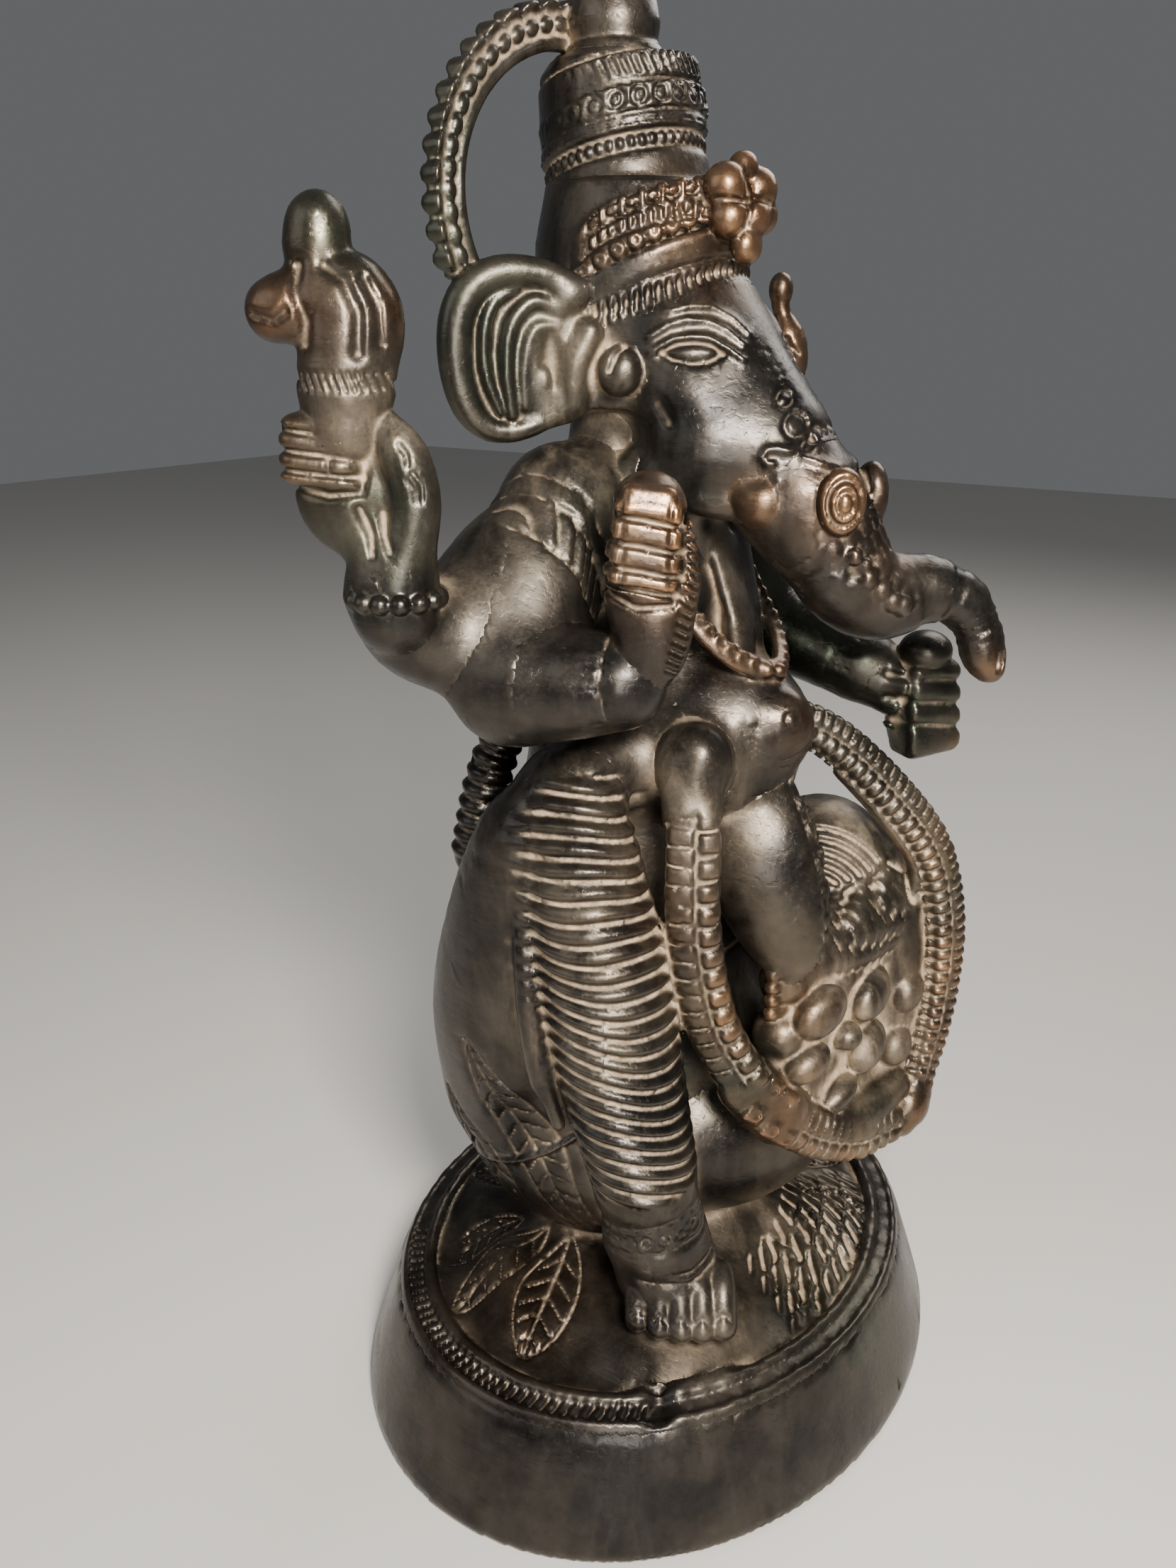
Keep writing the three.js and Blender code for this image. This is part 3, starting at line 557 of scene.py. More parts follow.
def shin_pleats(along, aside, ahead):
    """Round folds of cloth with narrow grooves, steeper toward the ankle."""
    slanted = along + (0.10 + 0.0045 * along) * aside + 0.5 * np.sin(aside * 0.30 + along * 0.11)
    fold = np.abs(np.sin(np.pi * slanted / 3.3))
    return 2.0 * (1 - fold**0.85) * span(np.abs(aside) - 2.5, 11, 5) * np.clip(ahead / 3, 0, 1)


def thigh_hatch(along, aside, ahead):
    top = np.clip((along - 44) / 6, 0, 1)
    return 0.25 * line(wrap(along + 0.25 * aside, 1.3), 0.3) * top


def left_pleats(along, aside, ahead):
    return 1.3 * (1 - np.abs(np.sin(np.pi * (along - 0.06 * aside**2) / 2.8)) ** 0.9)


GUIDE = [
    (-31.6, -2, 132, 10), (-32.8, -5, 113, 10), (-31.6, -8, 96, 10), (-30, -11, 76, 10),
    (-27.4, -14.2, 56, 10),
]
along_limb(None, Limb(GUIDE, 20, face=(-0.7, -0.7, 0)), shin_pleats, 3)
along_limb("right_thigh", thigh, thigh_hatch)
along_limb("left_shin", left_shin, left_pleats)

FAN_CENTRE = (0.1, -31.1, 102.7)
FAN_AXIS = unit((0.825, 0.366, -0.426))


def fan(x, y, z):
    """Close arcs of cloth falling over the raised left knee."""
    px, py, pz = x - FAN_CENTRE[0], y - FAN_CENTRE[1], z - FAN_CENTRE[2]
    along = px * FAN_AXIS[0] + py * FAN_AXIS[1] + pz * FAN_AXIS[2]
    r = np.sqrt(np.maximum(px**2 + py**2 + pz**2 - along**2, 0))
    return 1.2 * (1 - np.abs(np.sin(np.pi * r / 2.2))) * span(r - 10, 7, 1)


relief("left_thigh", (0, -42, 80), (46, 2, 122), fan)

# Leaves on the right flank as tip, stalk (y, z) and half width.
FLANK_LEAVES = [((17, 80), (-4, 34), 4.6), ((1, 66), (-15, 46), 3.2), ((26, 64), (9, 32), 3.6)]


def flank(x, y, z):
    """The cloth of the thigh ends in a step down; long leaves with fishbone veins are cut below it."""
    step = 1.1 * np.clip((74 - z - 0.7 * y) / 5 + 0.5, 0, 1) * np.clip((22 - y) / 8, 0, 1)
    marks = 0
    for (u0, v0), (u1, v1), half in FLANK_LEAVES:
        length = math.hypot(u1 - u0, v1 - v0)
        tu, tv = (u1 - u0) / length, (v1 - v0) / length
        u = (y - u0) * tu + (z - v0) * tv
        v = (z - v0) * tu - (y - u0) * tv
        inside = span(u - length / 2, length / 2, 0.6)
        wide = half * np.sin(np.pi * np.clip(u / length, 0.02, 0.98)) ** 0.7
        veins = line(wrap(u - 0.8 * np.abs(v), 3.9), 0.34) * span(v, wide * 0.9)
        edge = np.maximum(line(v, 0.42), line(np.abs(v) - wide, 0.42))
        marks = np.maximum(marks, inside * np.maximum(edge, veins))
    return np.where(x < -8, step + 0.75 * marks, 0)


relief("hips", (-40, -20, 28), (0, 36, 90), flank)
relief("right_thigh", (-46, -12, 42), (0, 36, 90), flank)

# Seat of rounded cloud lobes on the front, and the web that joins it to the outer strand of the garland.
add("seat", Ball((12, -8, 52), (32.5, 24.6, 21.6)), 3)
add("seat", Box((14, -31.2, 73), (20, 5.2, 17), turn(-9.5, 0, -22), 5), 3)
add("seat", Ball((29, -37.5, 76), (6.5, 4.6, 24)), 3)
add("seat", Limb([(-9, -30, 66, 3), (2, -35, 59, 3.6), (13, -38.4, 56, 3.6), (23, -40.5, 58, 3.4)], 10), 3)
LOBES = [
    (-0.6, -34.2, 83.4, 6.2, 4.6), (14.6, -37.4, 81.4, 6.2, 4.4), (27, -39.8, 77.5, 5, 4.4),
    (14, -37.7, 70.4, 6, 4.2), (-4.4, -33.8, 74.6, 5.2, 3.2), (24, -39.6, 66.5, 4.6, 4.0),
    (5.4, -35.8, 64, 5.4, 2.6), (7, -36, 75.6, 3.2, 2.6), (34, -30, 62, 8, 5.6), (38, -22, 56, 8.5, 6),
    (36, -24, 45, 8.5, 6.2), (41, -12, 66, 8, 6.4), (42, -8, 50, 8.5, 6.4),
]
for x, y, z, long, high in LOBES:
    outward = math.degrees(math.atan2((y + 8) / 24, (x - 12) / 32)) + 90
    add("seat", Ball((x, y, z), (long, 3.6, high), turn(outward, 0, -24)), 0.4)


def back_folds(x, y, z):
    """Slow hanging folds over the back of the seat."""
    sweep = np.hypot(x + 2, z - 128)
    folds = 1 - np.abs(np.sin(np.pi * sweep / 6.5))
    return 1.1 * folds * span(sweep - 48, 20, 8) * np.clip((y - 18) / 8, 0, 1)


relief("hips", (-40, 16, 28), (36, 42, 104), back_folds)
BACK_SCARF = [(16, 14, 172, 2.2), (6, 23, 160, 2.4), (-8, 25.4, 146, 2.6), (-18, 21, 134, 2.6)]
add("torso", Limb(BACK_SCARF, 16, 0.6, (0, 1, 0)), 1)

# A broad pointed sash between the knees, with a toothed border down its right edge.
FACING = (-0.8, -0.57, 0.1)
SASH = [
    (-2.6, -19.2, 120, 10), (-4.2, -23, 112.5, 10.6), (-4, -26, 105, 9.8), (-4, -28.8, 97.5, 6.8),
    (-4.2, -31, 89.8, 0.9),
]
sash = add("front_sash", Limb(SASH, 16, 0.55, FACING), 1.5)


def ladder(along, aside, ahead):
    radius = np.interp(along, sash.start, sash.radius)
    inset = aside + radius
    rungs = line(wrap(along, 1.5), 0.35) * span(inset - 1.3, 0.8)
    return 0.7 * np.maximum(line(inset - 2.3, 0.35), rungs) + 0.35 * line(inset - 0.5, 0.3)


along_limb("front_sash", sash, ladder)
rear = add("rear_sash", Limb([(-20, 21, 134, 4), (-23, 24, 122, 4.5), (-25, 26, 108, 4.5)], 10), 1)
along_limb("rear_sash", rear, lambda s, a, n: 1.1 * (1 - np.abs(np.sin(np.pi * s / 3))))

# Right foot: ankle bands, instep and toes.
ANKLET = [(-27.2, -14.4, 53, 9.4), (-26.8, -15.4, 48.5, 9.2), (-26.6, -16.2, 44.5, 9.4)]
anklet = add("right_anklet", Limb(ANKLET), 0.8)


def anklet_bands(along, aside, ahead):
    around = np.arctan2(aside, ahead) * 9.3
    lines = sum(line(along - at, 0.35) for at in (0.6, 1.9, 3.1)) + line(along - 7.9, 0.4)
    return 0.65 * lines + 0.6 * rings_in_row(around, along - 5.5, 3.4, 1.15, 0.35)


along_limb("right_anklet", anklet, anklet_bands)
FORWARD = np.array([-0.82, -0.57, 0])
ACROSS = np.array([0.574, -0.819, 0])
add("right_foot", Limb([(-26.4, -15.4, 44, 9.2), (-25.4, -17.6, 38, 9.6)]), 1.5)
add("right_foot", Ball((-25.6, -20.2, 34.6), (8.2, 10.2, 5.6), turn(35)), 2)
TOE_ROW = np.array([-32.0, -25.0, 0])
for i in range(5):
    root = TOE_ROW + ACROSS * (i - 2) * 3.8 + FORWARD * (1.2 - 0.5 * (i - 2.4) ** 2)
    size = 2.7 if i == 4 else 2.3
    knuckle, tip = root - FORWARD * 2.6, root + FORWARD * 0.8
    toe = [(*(root - FORWARD * 6)[:2], 37.4, 2.4), (*knuckle[:2], 36.0, size), (*tip[:2], 31.6, size)]
    add("right_foot", Limb(toe, 6), 0.35)
    nail = [(*(tip - ACROSS * 1.2)[:2], 32.6), (*tip[:2], 34.2), (*(tip + ACROSS * 1.2)[:2], 32.6)]
    engrave("right_foot", nail, (-0.6, -0.42, 0.68), 0.32, 0.6)
for z in (40.6, 42.6):
    strap = [(-33, -11, z), (-34, -18, z - 1.4), (-29, -25, z - 1.8), (-20, -26, z - 0.6)]
    engrave("right_foot", strap, (-0.75, -0.6, 0.3), 0.45, 0.6, 10)

# Left foot in rubbed copper, with its toes to the right leg.
add("left_foot", Limb([(6, -27.6, 89, 5.6), (-2, -27.6, 88.6, 4.8)]), 1)
for i in range(4):
    add("left_foot", Limb([(-3.4, -28.6, 92 - i * 2.6, 1.7), (-7.2, -27.6, 92 - i * 2.6, 1.5)]), 0.35)

# ---------------------------------------------------------------- chest, belly and arms

for name, centre, radii, blend in (
    ("torso", (0, 9, 168), (21, 12, 12), 6),
    ("torso", (0, 6, 184), (13.5, 12, 12), 5),
    ("belly", (-1.5, -24.4, 137), (5.2, 4.2, 5.6), 2.0),
):
    add(name, Ball(centre, radii), blend)


def belly_marks(x, y, z):
    """Short strokes that fan out round the front of the belly, and a punched ring."""
    u, v = 0.574 * (x + 1.5) - 0.819 * (y + 24.4), z - 137
    angle, r = np.arctan2(v, u), np.hypot(u, v)
    strokes = line(wrap(angle * 6.5, 0.9), 0.24) * span(r - 6.6, 1.5)
    return np.where(v < 1.5, 0.4 * strokes, 0) + 0.4 * line(np.hypot(u - 0.5, v - 1.6) - 1.1, 0.3)


relief("belly", (-14, -34, 126), (10, -14, 146), belly_marks)

BACK_ARM = [(-31, 12, 161, 11), (-41, 14, 155.5, 9.5), (-48.5, 16, 157, 7.9), (-53, 17.4, 162.6, 6.4)]
LEFT_BACK_ARM = [(27, 12, 163, 10.5), (38, 14, 157, 9.3), (48, 14.5, 160, 7.7), (53.6, 13.1, 170.6, 6.1)]
# Member, stations, count and blend.
ARMS = [
    ("right_upper_arm", [(-19, 9, 172, 11.0), (-29, 8, 161, 11.4), (-38, 5, 148, 10.3)], 10, 5),
    ("right_forearm", [(-38, 5, 148, 9.8), (-36.5, -4.5, 148.4, 8.8), (-34.4, -11.5, 149.3, 7.2)], 8, 3),
    ("right_bracelet", [(-36.2, -6.8, 149, 8.2), (-34.6, -12.4, 149.5, 7.6)], 0, 0.8),
    ("right_back_arm", BACK_ARM, 14, 4),
    ("left_upper_arm", [(19, 7, 169, 11), (24, 3, 158, 11.1), (29, -1, 147, 9.5)], 8, 5),
    ("left_forearm", [(29, -1, 147, 8.4), (31, -12, 143.6, 8.0), (32.7, -21, 140, 6.6)], 8, 3),
    ("left_bracelet", [(32.0, -18, 141.2, 7.2), (32.9, -22.5, 139.7, 6.9)], 0, 0.8),
    ("left_back_arm", LEFT_BACK_ARM, 14, 4),
]
arms = {name: add(name, Limb(stations, count), blend) for name, stations, count, blend in ARMS}
# Hollow between the upper arm and the chest.
cut(Limb([(-24, -5, 170, 3), (-26.5, -7, 161, 4.4), (-28.6, -8, 157, 3)], 6), 3)


def cuff_marks(along, aside, ahead):
    around = np.arctan2(aside, ahead) * 7.4
    edges = line(along - 0.6, 0.38) + line(along - 5.3, 0.38)
    ticks = line(wrap(around, 3.4) - 0.55, 0.32) + line(wrap(around, 3.4) + 0.55, 0.32)
    return 0.7 * edges + 0.65 * ticks * span(along - 3, 1.7)


along_limb("right_bracelet", arms["right_bracelet"], cuff_marks)
along_limb("left_bracelet", arms["left_bracelet"], cuff_marks)


def armlet(along, aside, ahead):
    """Pleated armlet: folds that fan across the outer arm between two rims."""
    across = along - 13.5 + 0.45 * aside
    spread = aside + 0.25 * across
    folds = 1 - np.abs(np.sin(np.pi * spread / 2.7)) ** 0.9
    rims = line(across - 3.4, 0.5) + line(across + 3.4, 0.5) + 0.7 * line(across + 7.5, 0.6)
    return 0.7 * folds * span(across, 3.2, 0.8) + 0.7 * rims


along_limb("right_upper_arm", arms["right_upper_arm"], armlet)

# Scarf and necklace on the chest.
for stations, count, flat, blend in (
    ([(-4, -7, 172, 4), (4, -10, 158, 4.6), (-1, -15, 148, 4), (-4, -17.5, 143, 1.6)], 10, 0.6, 1),
    ([(9, -6, 170, 4.4), (6, -11, 156, 4.4), (4, -16.5, 144, 1.6)], 8, 0.6, 1),
    ([(-1, -10, 164, 2), (0, -12.6, 156, 2.6), (-1.6, -15.4, 149, 0.9)], 8, 0.6, 0.5),
    ([(-13, -1, 178, 3.6), (-15, -3, 168, 3.6), (-12, -7, 158, 3)], 8, 0.7, 1.4),
):
    add("scarf", Limb(stations, count, flat), blend)
CHAIN = [
    (-14.4, -2.5, 168), (-12.9, -8.6, 158.5), (-9.4, -16.2, 150), (-3.4, -20.5, 146), (0, -21.4, 145.4),
]
CHAIN += mirrored(CHAIN[:-1])[::-1]
chain = add("necklace", Limb([(*p, 2.1) for p in CHAIN], 30, 0.6, (0, -1, 0.2)), 0.5)
for s in np.arange(2.0, chain.start[-1], 2.5):
    centre = chain.place(s, 0.8)
    out = unit((centre[0], centre[1] - 2, 2))
    add("necklace", Hoop(centre, out, 0.95, 0.5, 0.42, 0.35), 0.25)
add("necklace", Ball((-1, -22.6, 145.4), (1.6, 1.4, 1.6)), 0.3)
add("necklace", Ball((-3.6, -21.6, 146), (1.4, 1.3, 1.4)), 0.3)

# ---------------------------------------------------------------- hands


class Hand:
    """A frame for a fist: a to its right, b away from its fingers, c up, in multiples of size."""

    def __init__(self, name, centre, facing, size=1.0):
        self.name, self.centre, self.size = name, np.array(centre, float), size
        self.a = np.array([math.cos(facing), math.sin(facing), 0])
        self.b = np.array([-math.sin(facing), math.cos(facing), 0])
        self.matrix = turn(math.degrees(facing))

    def at(self, a, b, c):
        return self.centre + (self.a * a + self.b * b + np.array([0, 0, 1]) * c) * self.size

    def ball(self, a, b, c, radii, blend=1.0, name=None):
        form = Ball(self.at(a, b, c), np.array(radii) * self.size, self.matrix)
        add(name or self.name, form, blend)

    def box(self, a, b, c, half, rounding, blend=0.8, tilt=0.0, name=None):
        matrix = self.matrix @ turn(0, 0, tilt)
        add(name or self.name, Box(self.at(a, b, c), np.array(half) * self.size, matrix, rounding), blend)

    def limb(self, stations, blend=0.35, name=None, count=0):
        path = [(*self.at(*s[:3]), s[3] * self.size) for s in stations]
        add(name or self.name, Limb(path, count, face=-self.b), blend)

    def mark(self, points, width=0.4, depth=0.5):
        engrave(self.name, [self.at(a, -5, c) for a, c in points], self.b, width, depth, 7 * self.size)


# Right front hand: a tall shield with five slanting finger blocks and a notched edge.
fist = Hand("right_hand", (-34.6, -18.2, 167), -0.96)
fist.ball(-0.2, 0.8, -1.0, (7.2, 5.4, 13.4), 1)
fist.ball(0.2, 0.6, -9.2, (5.6, 4.8, 8.6), 1.5)
fist.ball(-0.8, 0.6, 9.8, (5.2, 4.6, 4.6), 1.5, "right_attribute")
fist.box(-1.3, -3.3, 4.2, (5.0, 2.5, 6.9), 1.9, 1.0, 6)
fist.box(-0.9, -2.6, 10.9, (4.1, 2.5, 1.9), 1.6, 0.6, 6, "right_attribute")
for c in (8.8, 5.1, 1.6, -1.2):
    fist.mark([(-8, c + 0.2), (-2, c - 0.6), (4.2, c - 2.0)], 0.5, 1.1)
    fist.mark([(-4.6, c + 2.6), (-4.9, c + 0.4)], 0.35, 0.5)
    fist.mark([(2.2, c + 1.6), (2.0, c - 0.6)], 0.35, 0.35)
fist.mark([(3.6, 12), (4.4, 7), (4.3, 0), (2.8, -4.2), (-2.5, -4.6), (-6.8, -2.6)], 0.55, 0.9)
EDGE_TICKS = 17
for i in range(EDGE_TICKS):
    t = i / (EDGE_TICKS - 1)
    a, c = 6.0 - 3.2 * t * t, 8.5 - 23 * t
    fist.mark([(a - 0.9, c + 0.7), (a + 0.7, c - 0.4)], 0.32, 0.6)

# Right back hand: stacked fingers at the left, the palm and first finger on the right round a hollow.
back = Hand("right_back_hand", (-56.2, 18.2, 177.6), -0.96)
back.ball(-1.2, 1.2, 0.5, (8.6, 5.4, 9.6), 1)
back.ball(3.8, 0.8, -9.6, (6.2, 5.8, 7), 3)
back.limb(
    [
        (3.6, -0.6, 9.4, 2.8), (6.6, -2.0, 5.6, 3.6), (8.0, -1.8, -0.5, 3.7), (6.6, -1.2, -7, 4.2),
        (4.6, 0, -12, 5.6),
    ],
    1.4, count=12,
)
back.box(-5.2, -2.0, 6.2, (5.6, 3.2, 5.2), 2.5, 0.9, 4)
for c in (8.9, 6.1, 3.4):
    back.mark([(-12, c + 0.8), (-6, c), (0.8, c - 0.7)], 0.5, 1.05)
    back.mark([(-3.4, c + 2.2), (-3.6, c + 0.5)], 0.35, 0.5)
for a in (-4.8, -3.0, -1.2):
    back.mark([(a, 11.6), (a + 0.2, 9.8)], 0.35, 0.6)
back.mark([(0.9, 10.5), (1.4, 5), (0.6, 0.6), (-4, 0.2), (-10.5, 1.6)], 0.6, 1.0)
cut(Ball(back.at(2.0, -6.4, -2.6), (3.0, 2.6, 4.2), back.matrix), 1.6)
for points, width, depth in (
    ([(0.2, -1.6), (1.6, -5.4), (1.8, -8.2)], 0.6, 0.9),
    ([(3.4, -2.4), (3.6, -5.4), (4.4, -7.6)], 0.6, 0.9),
    ([(6.4, 7.4), (7.4, 6.2), (7.6, 4.6)], 0.35, 0.5),
    ([(8.2, 3.6), (9.4, 1.8), (9.4, -0.4)], 0.35, 0.55),
    ([(7.4, 2.6), (8.4, 1.2), (8.4, -0.4)], 0.35, 0.45),
):
    back.mark(points, width, depth)
back.limb([(4.4, 0.2, -12.8, 6.3), (4.0, 0.4, -17.2, 6.6)], 0.8, "right_back_bracelet")
for i in range(14):
    angle = 2 * math.pi * i / 14
    bead = back.at(4.2 + 6.4 * math.cos(angle), 0.3 + 6.4 * math.sin(angle), -15)
    add("right_back_bracelet", Ball(bead, 1.5), 0.4)

# What the right back hand holds: stem, corded ring, swollen twisted body with a side knob, bullet tip.
goad = Hand("right_back_attribute", (-56.2, 18.2, 177.6), -0.96)
goad.limb([(-1.7, 0, 9.5, 6.0), (-1.7, 0, 14.4, 6.2)], 0.6)
goad.limb([(-1.2, 0, 14.9, 6.9), (-1.0, 0, 16.4, 6.9)], 0.4)
goad.limb([(-1.2, 0, 17, 6.0), (-0.9, 0, 20.4, 6.8)], 1.2)
goad.ball(-0.6, 0, 24.4, (7.4, 6.4, 8.4), 1.2)
goad.ball(2.0, 0, 22.6, (5.2, 5.0, 7.2), 1.6)
goad.limb([(-4.6, -0.8, 25.8, 4.8), (-8.0, -1.2, 25.4, 4.8), (-9.8, -1.2, 25, 4.4)], 1.0, count=6)
goad.limb([(-4.0, 0.4, 29.4, 4.9), (-4.1, 0.4, 32.2, 4.3)], 1.4)
goad.limb([(-4.1, 0.4, 33.4, 4.7), (-3.9, 0.4, 35.8, 4.3), (-3.7, 0.4, 37.6, 2.6)], 0.5, count=7)
for points, width, depth in (
    ([(-6.0, 30.5), (-6.4, 27.5), (-5.2, 23.5), (-5.6, 20.5)], 0.8, 0.9),
    ([(-12.5, 24.6), (-9.5, 23.6), (-7.8, 24.8)], 0.6, 0.7),
    ([(-2.4, 30.4), (0.2, 28.6), (2.0, 24.6), (1.6, 19.4)], 0.8, 0.8),
    ([(2.6, 29), (4.4, 25.4), (4.6, 20.6)], 0.7, 0.7),
):
    goad.mark(points, width, depth)
for i in range(12):
    a = -7.4 + 1.15 * i
    goad.mark([(a - 0.4, 16.8), (a + 0.4, 14.6)], 0.34, 0.6)

# Left front hand with a sweet; left back hand with a bud.
left = Hand("left_hand", (36.4, -33.8, 132.4), -0.6, 0.95)
left.ball(-0.6, 1, 0, (6.8, 5.2, 9.4), 1)
left.box(0.4, -1.4, 0, (6.6, 4.6, 9.6), 2.4, 1.2, -6)
left.limb([(-8.6, 7.6, 7, 6.6), (-4.6, 3.4, 4.4, 6.4)], 3)
for c in (6.4, 1.8, -2.8):
    left.mark([(-8, c + 0.8), (0, c), (8, c - 1.2)], 0.85, 1.0)
left.mark([(-5.2, 9), (-5.8, 0), (-5.4, -8)], 0.6, 0.9)
add("left_sweet", Ball((35.5, -34.6, 143.4), (5.0, 5.0, 3.8)), 0.8)
left_back = Hand("left_back_hand", (56, 11, 182), 0.9, 0.85)
left_back.ball(0, 0.5, 0, (6.8, 5.6, 9.6), 1)
left_back.limb([(0, 0, -8, 6.4), (-1.5, 1.5, -13, 6.4)], 2)
left_back.box(-1, -3, 2, (5.6, 2.8, 7.4), 2.2, 0.9)
for c in (5.8, 2.2, -1.4):
    left_back.mark([(-8, c), (5, c - 0.6)], 0.5, 1.0)
bud = Hand("left_back_attribute", (56.6, 9.2, 190), -0.96)
bud.limb(
    [(0.6, 0, -1, 3.2), (1.4, 0, 2.6, 4.2), (1.4, 0, 7.4, 3.7), (0.2, 0, 12, 1.9), (-0.5, 0, 14.2, 1.8)],
    0.6, count=12,
)
bud.ball(-0.5, 0, 17.2, (2.5, 2.4, 3.3), 0.6)
bud.mark([(-1.8, 1.5), (0.4, 7.5), (2.8, 5)], 0.6, 0.8)
bud.mark([(0.6, 7.8), (1.6, 2)], 0.5, 0.6)

# ---------------------------------------------------------------- garland

FACE = (-0.5, -0.85, 0.1)
NEAR = [
    (-19.4, -16.2, 134, 4.6), (-22.6, -19.4, 122, 5.4), (-23.7, -20.6, 106, 5.6), (-20.8, -22.8, 88, 5.6),
    (-15, -27.4, 73.5, 5.6),
]
near = add("garland_near", Limb(NEAR, 24, 0.58, FACING), 0.5)
add("garland_near", Ball((-14.6, -13.8, 131.5), (7.4, 6.6, 6.6)), 4.0)
add("garland_near", Ball((-18.2, -17.6, 133.4), (5.2, 5, 5.6)), 2.5)
HEM = [
    (-15, -27.4, 73.5, 5.6), (-9.5, -31, 66, 6.0), (-2, -34.6, 59, 6.0), (8, -38.6, 53.6, 5.4),
    (18, -41.6, 52, 4.6),
]
hem = add("garland_hem", Limb(HEM, 20, 0.58, FACE), 0.5)
FAR_STRAND = [
    (26.6, -44.4, 56, 3.6), (30, -44.6, 64, 4.2), (33, -44.8, 74, 4.6), (34, -44.3, 90, 4.9),
    (31, -41, 106, 5.2), (24, -34, 119, 5.2), (16, -25.6, 130, 4.8), (9, -19.6, 135, 4.2),
]
far = add("garland_far", Limb(FAR_STRAND, 26, 0.6, FACE), 0.5)
INNER_EDGE = [(28, -39, 96, 1.6), (27.6, -38.4, 104, 2.0), (23, -33.6, 114, 2.2), (17.6, -27.4, 123, 2.0)]
add("garland_far", Limb(INNER_EDGE, 12), 0.6)
add("garland_knob", Ball((25.6, -44.0, 53), (4.8, 3.3, 4.6)), 0.8)
add("garland_knob", Ball((22.6, -43.2, 50.6), (3.2, 2.8, 3.2)), 0.8)


def strand_rows(limb, pitch, bead_side, first=0.0):
    """A row of flat ribs and, on bead_side, a row of square-shouldered beads, with a ridge between."""

    def pattern(along, aside, ahead):
        side = aside * bead_side
        radius = np.interp(along, limb.start, limb.radius)
        beads = side > 0.2
        between_ribs = line(wrap(along + pitch / 2, pitch * 0.82), 0.38)
        gap = np.where(beads, line(wrap(along, pitch), 0.7), between_ribs)
        across = np.where(beads, span(side - 2.4, 1.7, 0.8), span(side + 2.4, 2.0, 0.8))
        outer = 0.9 * line(side - radius + 0.9, 0.4)
        channels = line(side - 0.2, 0.5) + outer + 0.7 * line(side + radius - 0.8, 0.4)
        bulge = 0.16 * (side - 2.5) ** 2 + 0.12 * wrap(along + pitch / 2, pitch) ** 2
        dome = np.where(beads, bulge - 0.7, 0.1)
        return np.clip((along - first) / 4, 0, 1) * (0.95 * channels + gap * across + dome)

    return pattern


along_limb("garland_near", near, strand_rows(near, 4.0, -1, 8))
along_limb("garland_far", far, strand_rows(far, 2.6, -1))
along_limb("garland_hem", hem, strand_rows(hem, 3.0, 1, 12))
# Flat copper plates where the strand turns, each with a punched ring.
PLATE_FACING = (-0.7, -0.7, 0.1)
for s, aside in ((3.0, -0.45), (7.5, -0.45), (3.6, 0.5), (8.6, 0.5), (12.6, 0.45)):
    spot = hem.place(s, 0.72, aside)
    add("garland_hem", Box(spot, (2.1, 1.0, 2.0), turn(-35, 0, 40), 0.6), 0.3)
    raised = spot + unit(PLATE_FACING) * 0.9
    add("garland_hem", Hoop(raised, PLATE_FACING, 1.1, 0.45, 0.3, 0.25), 0.2)

# ---------------------------------------------------------------- head

add("head", Ball((0, 3, 198), (16.4, 16, 16)), 1)
add("head", Limb([(0, -2, 195, 15.3), (0, -10, 188, 13), (0, -17, 181.5, 11.7)], 8), 4)
TRUNK = [
    (0, -24, 174, 10.5), (2, -29, 167, 9.1), (4, -32.2, 161.2, 8.1), (8, -35.8, 158.4, 7.4),
    (13, -41.4, 159.4, 5.9), (17, -46.6, 157.2, 4.7), (18.6, -49.8, 151.5, 3.9), (18.8, -50.6, 148.4, 3.5),
]
trunk = add("trunk", Limb(TRUNK, 26), 3)

# Marks of the right side of the face, seen along GAZE; the left side has the same, mirrored.
GAZE = (-0.82, -0.57, 0.1)
BROW = [
    (-13.3, -6.7, 202.6), (-10.3, -8.8, 203.3), (-8.4, -11.6, 203.3), (-6.7, -14.6, 201.7),
    (-5.2, -16.6, 199.4),
]
BROW_TWO = [
    (-15.6, -4.6, 198.8), (-14.1, -7.2, 200.6), (-12.5, -9.4, 201.4), (-10.1, -11.9, 201.2),
    (-8.5, -14.2, 200.1), (-6.8, -16.8, 197.8),
]
LID = [
    (-15.6, -4.3, 196.2), (-14.9, -6.3, 197.5), (-13.8, -7.9, 198.5), (-12.3, -10.1, 198.9),
    (-10.6, -12.3, 198.8), (-8.6, -15.1, 197), (-7.4, -16.8, 195.6),
]
EYE_LOW = [
    (-14.5, -6.4, 196.6), (-14.3, -8.3, 195.6), (-13.4, -10.9, 195), (-11.6, -13, 195.2),
    (-9.9, -14.7, 196.4),
]
EYE_HIGH = [
    (-14.5, -6.4, 196.6), (-13.4, -8.5, 197.7), (-12, -10.8, 198), (-10.4, -13, 197.5),
    (-9.9, -14.7, 196.4),
]
CREASE = [(-15.9, -7, 189.2), (-15.9, -8.3, 187.6), (-15.9, -9.1, 186.3)]
SOCKET = [(-12.5, -19, 175.6), (-12.1, -20.2, 177.3), (-10.7, -21.7, 178), (-9.4, -24.1, 178)]
SCROLL = [
    (-9.6, -24.1, 180.3), (-10.2, -23.2, 180.5), (-10.9, -22.6, 181.5), (-10.2, -23.1, 182.6),
    (-9.4, -24.6, 182.8), (-7.2, -27.3, 182), (-5.7, -30.4, 180.7), (-3.3, -32.2, 179.9),
]
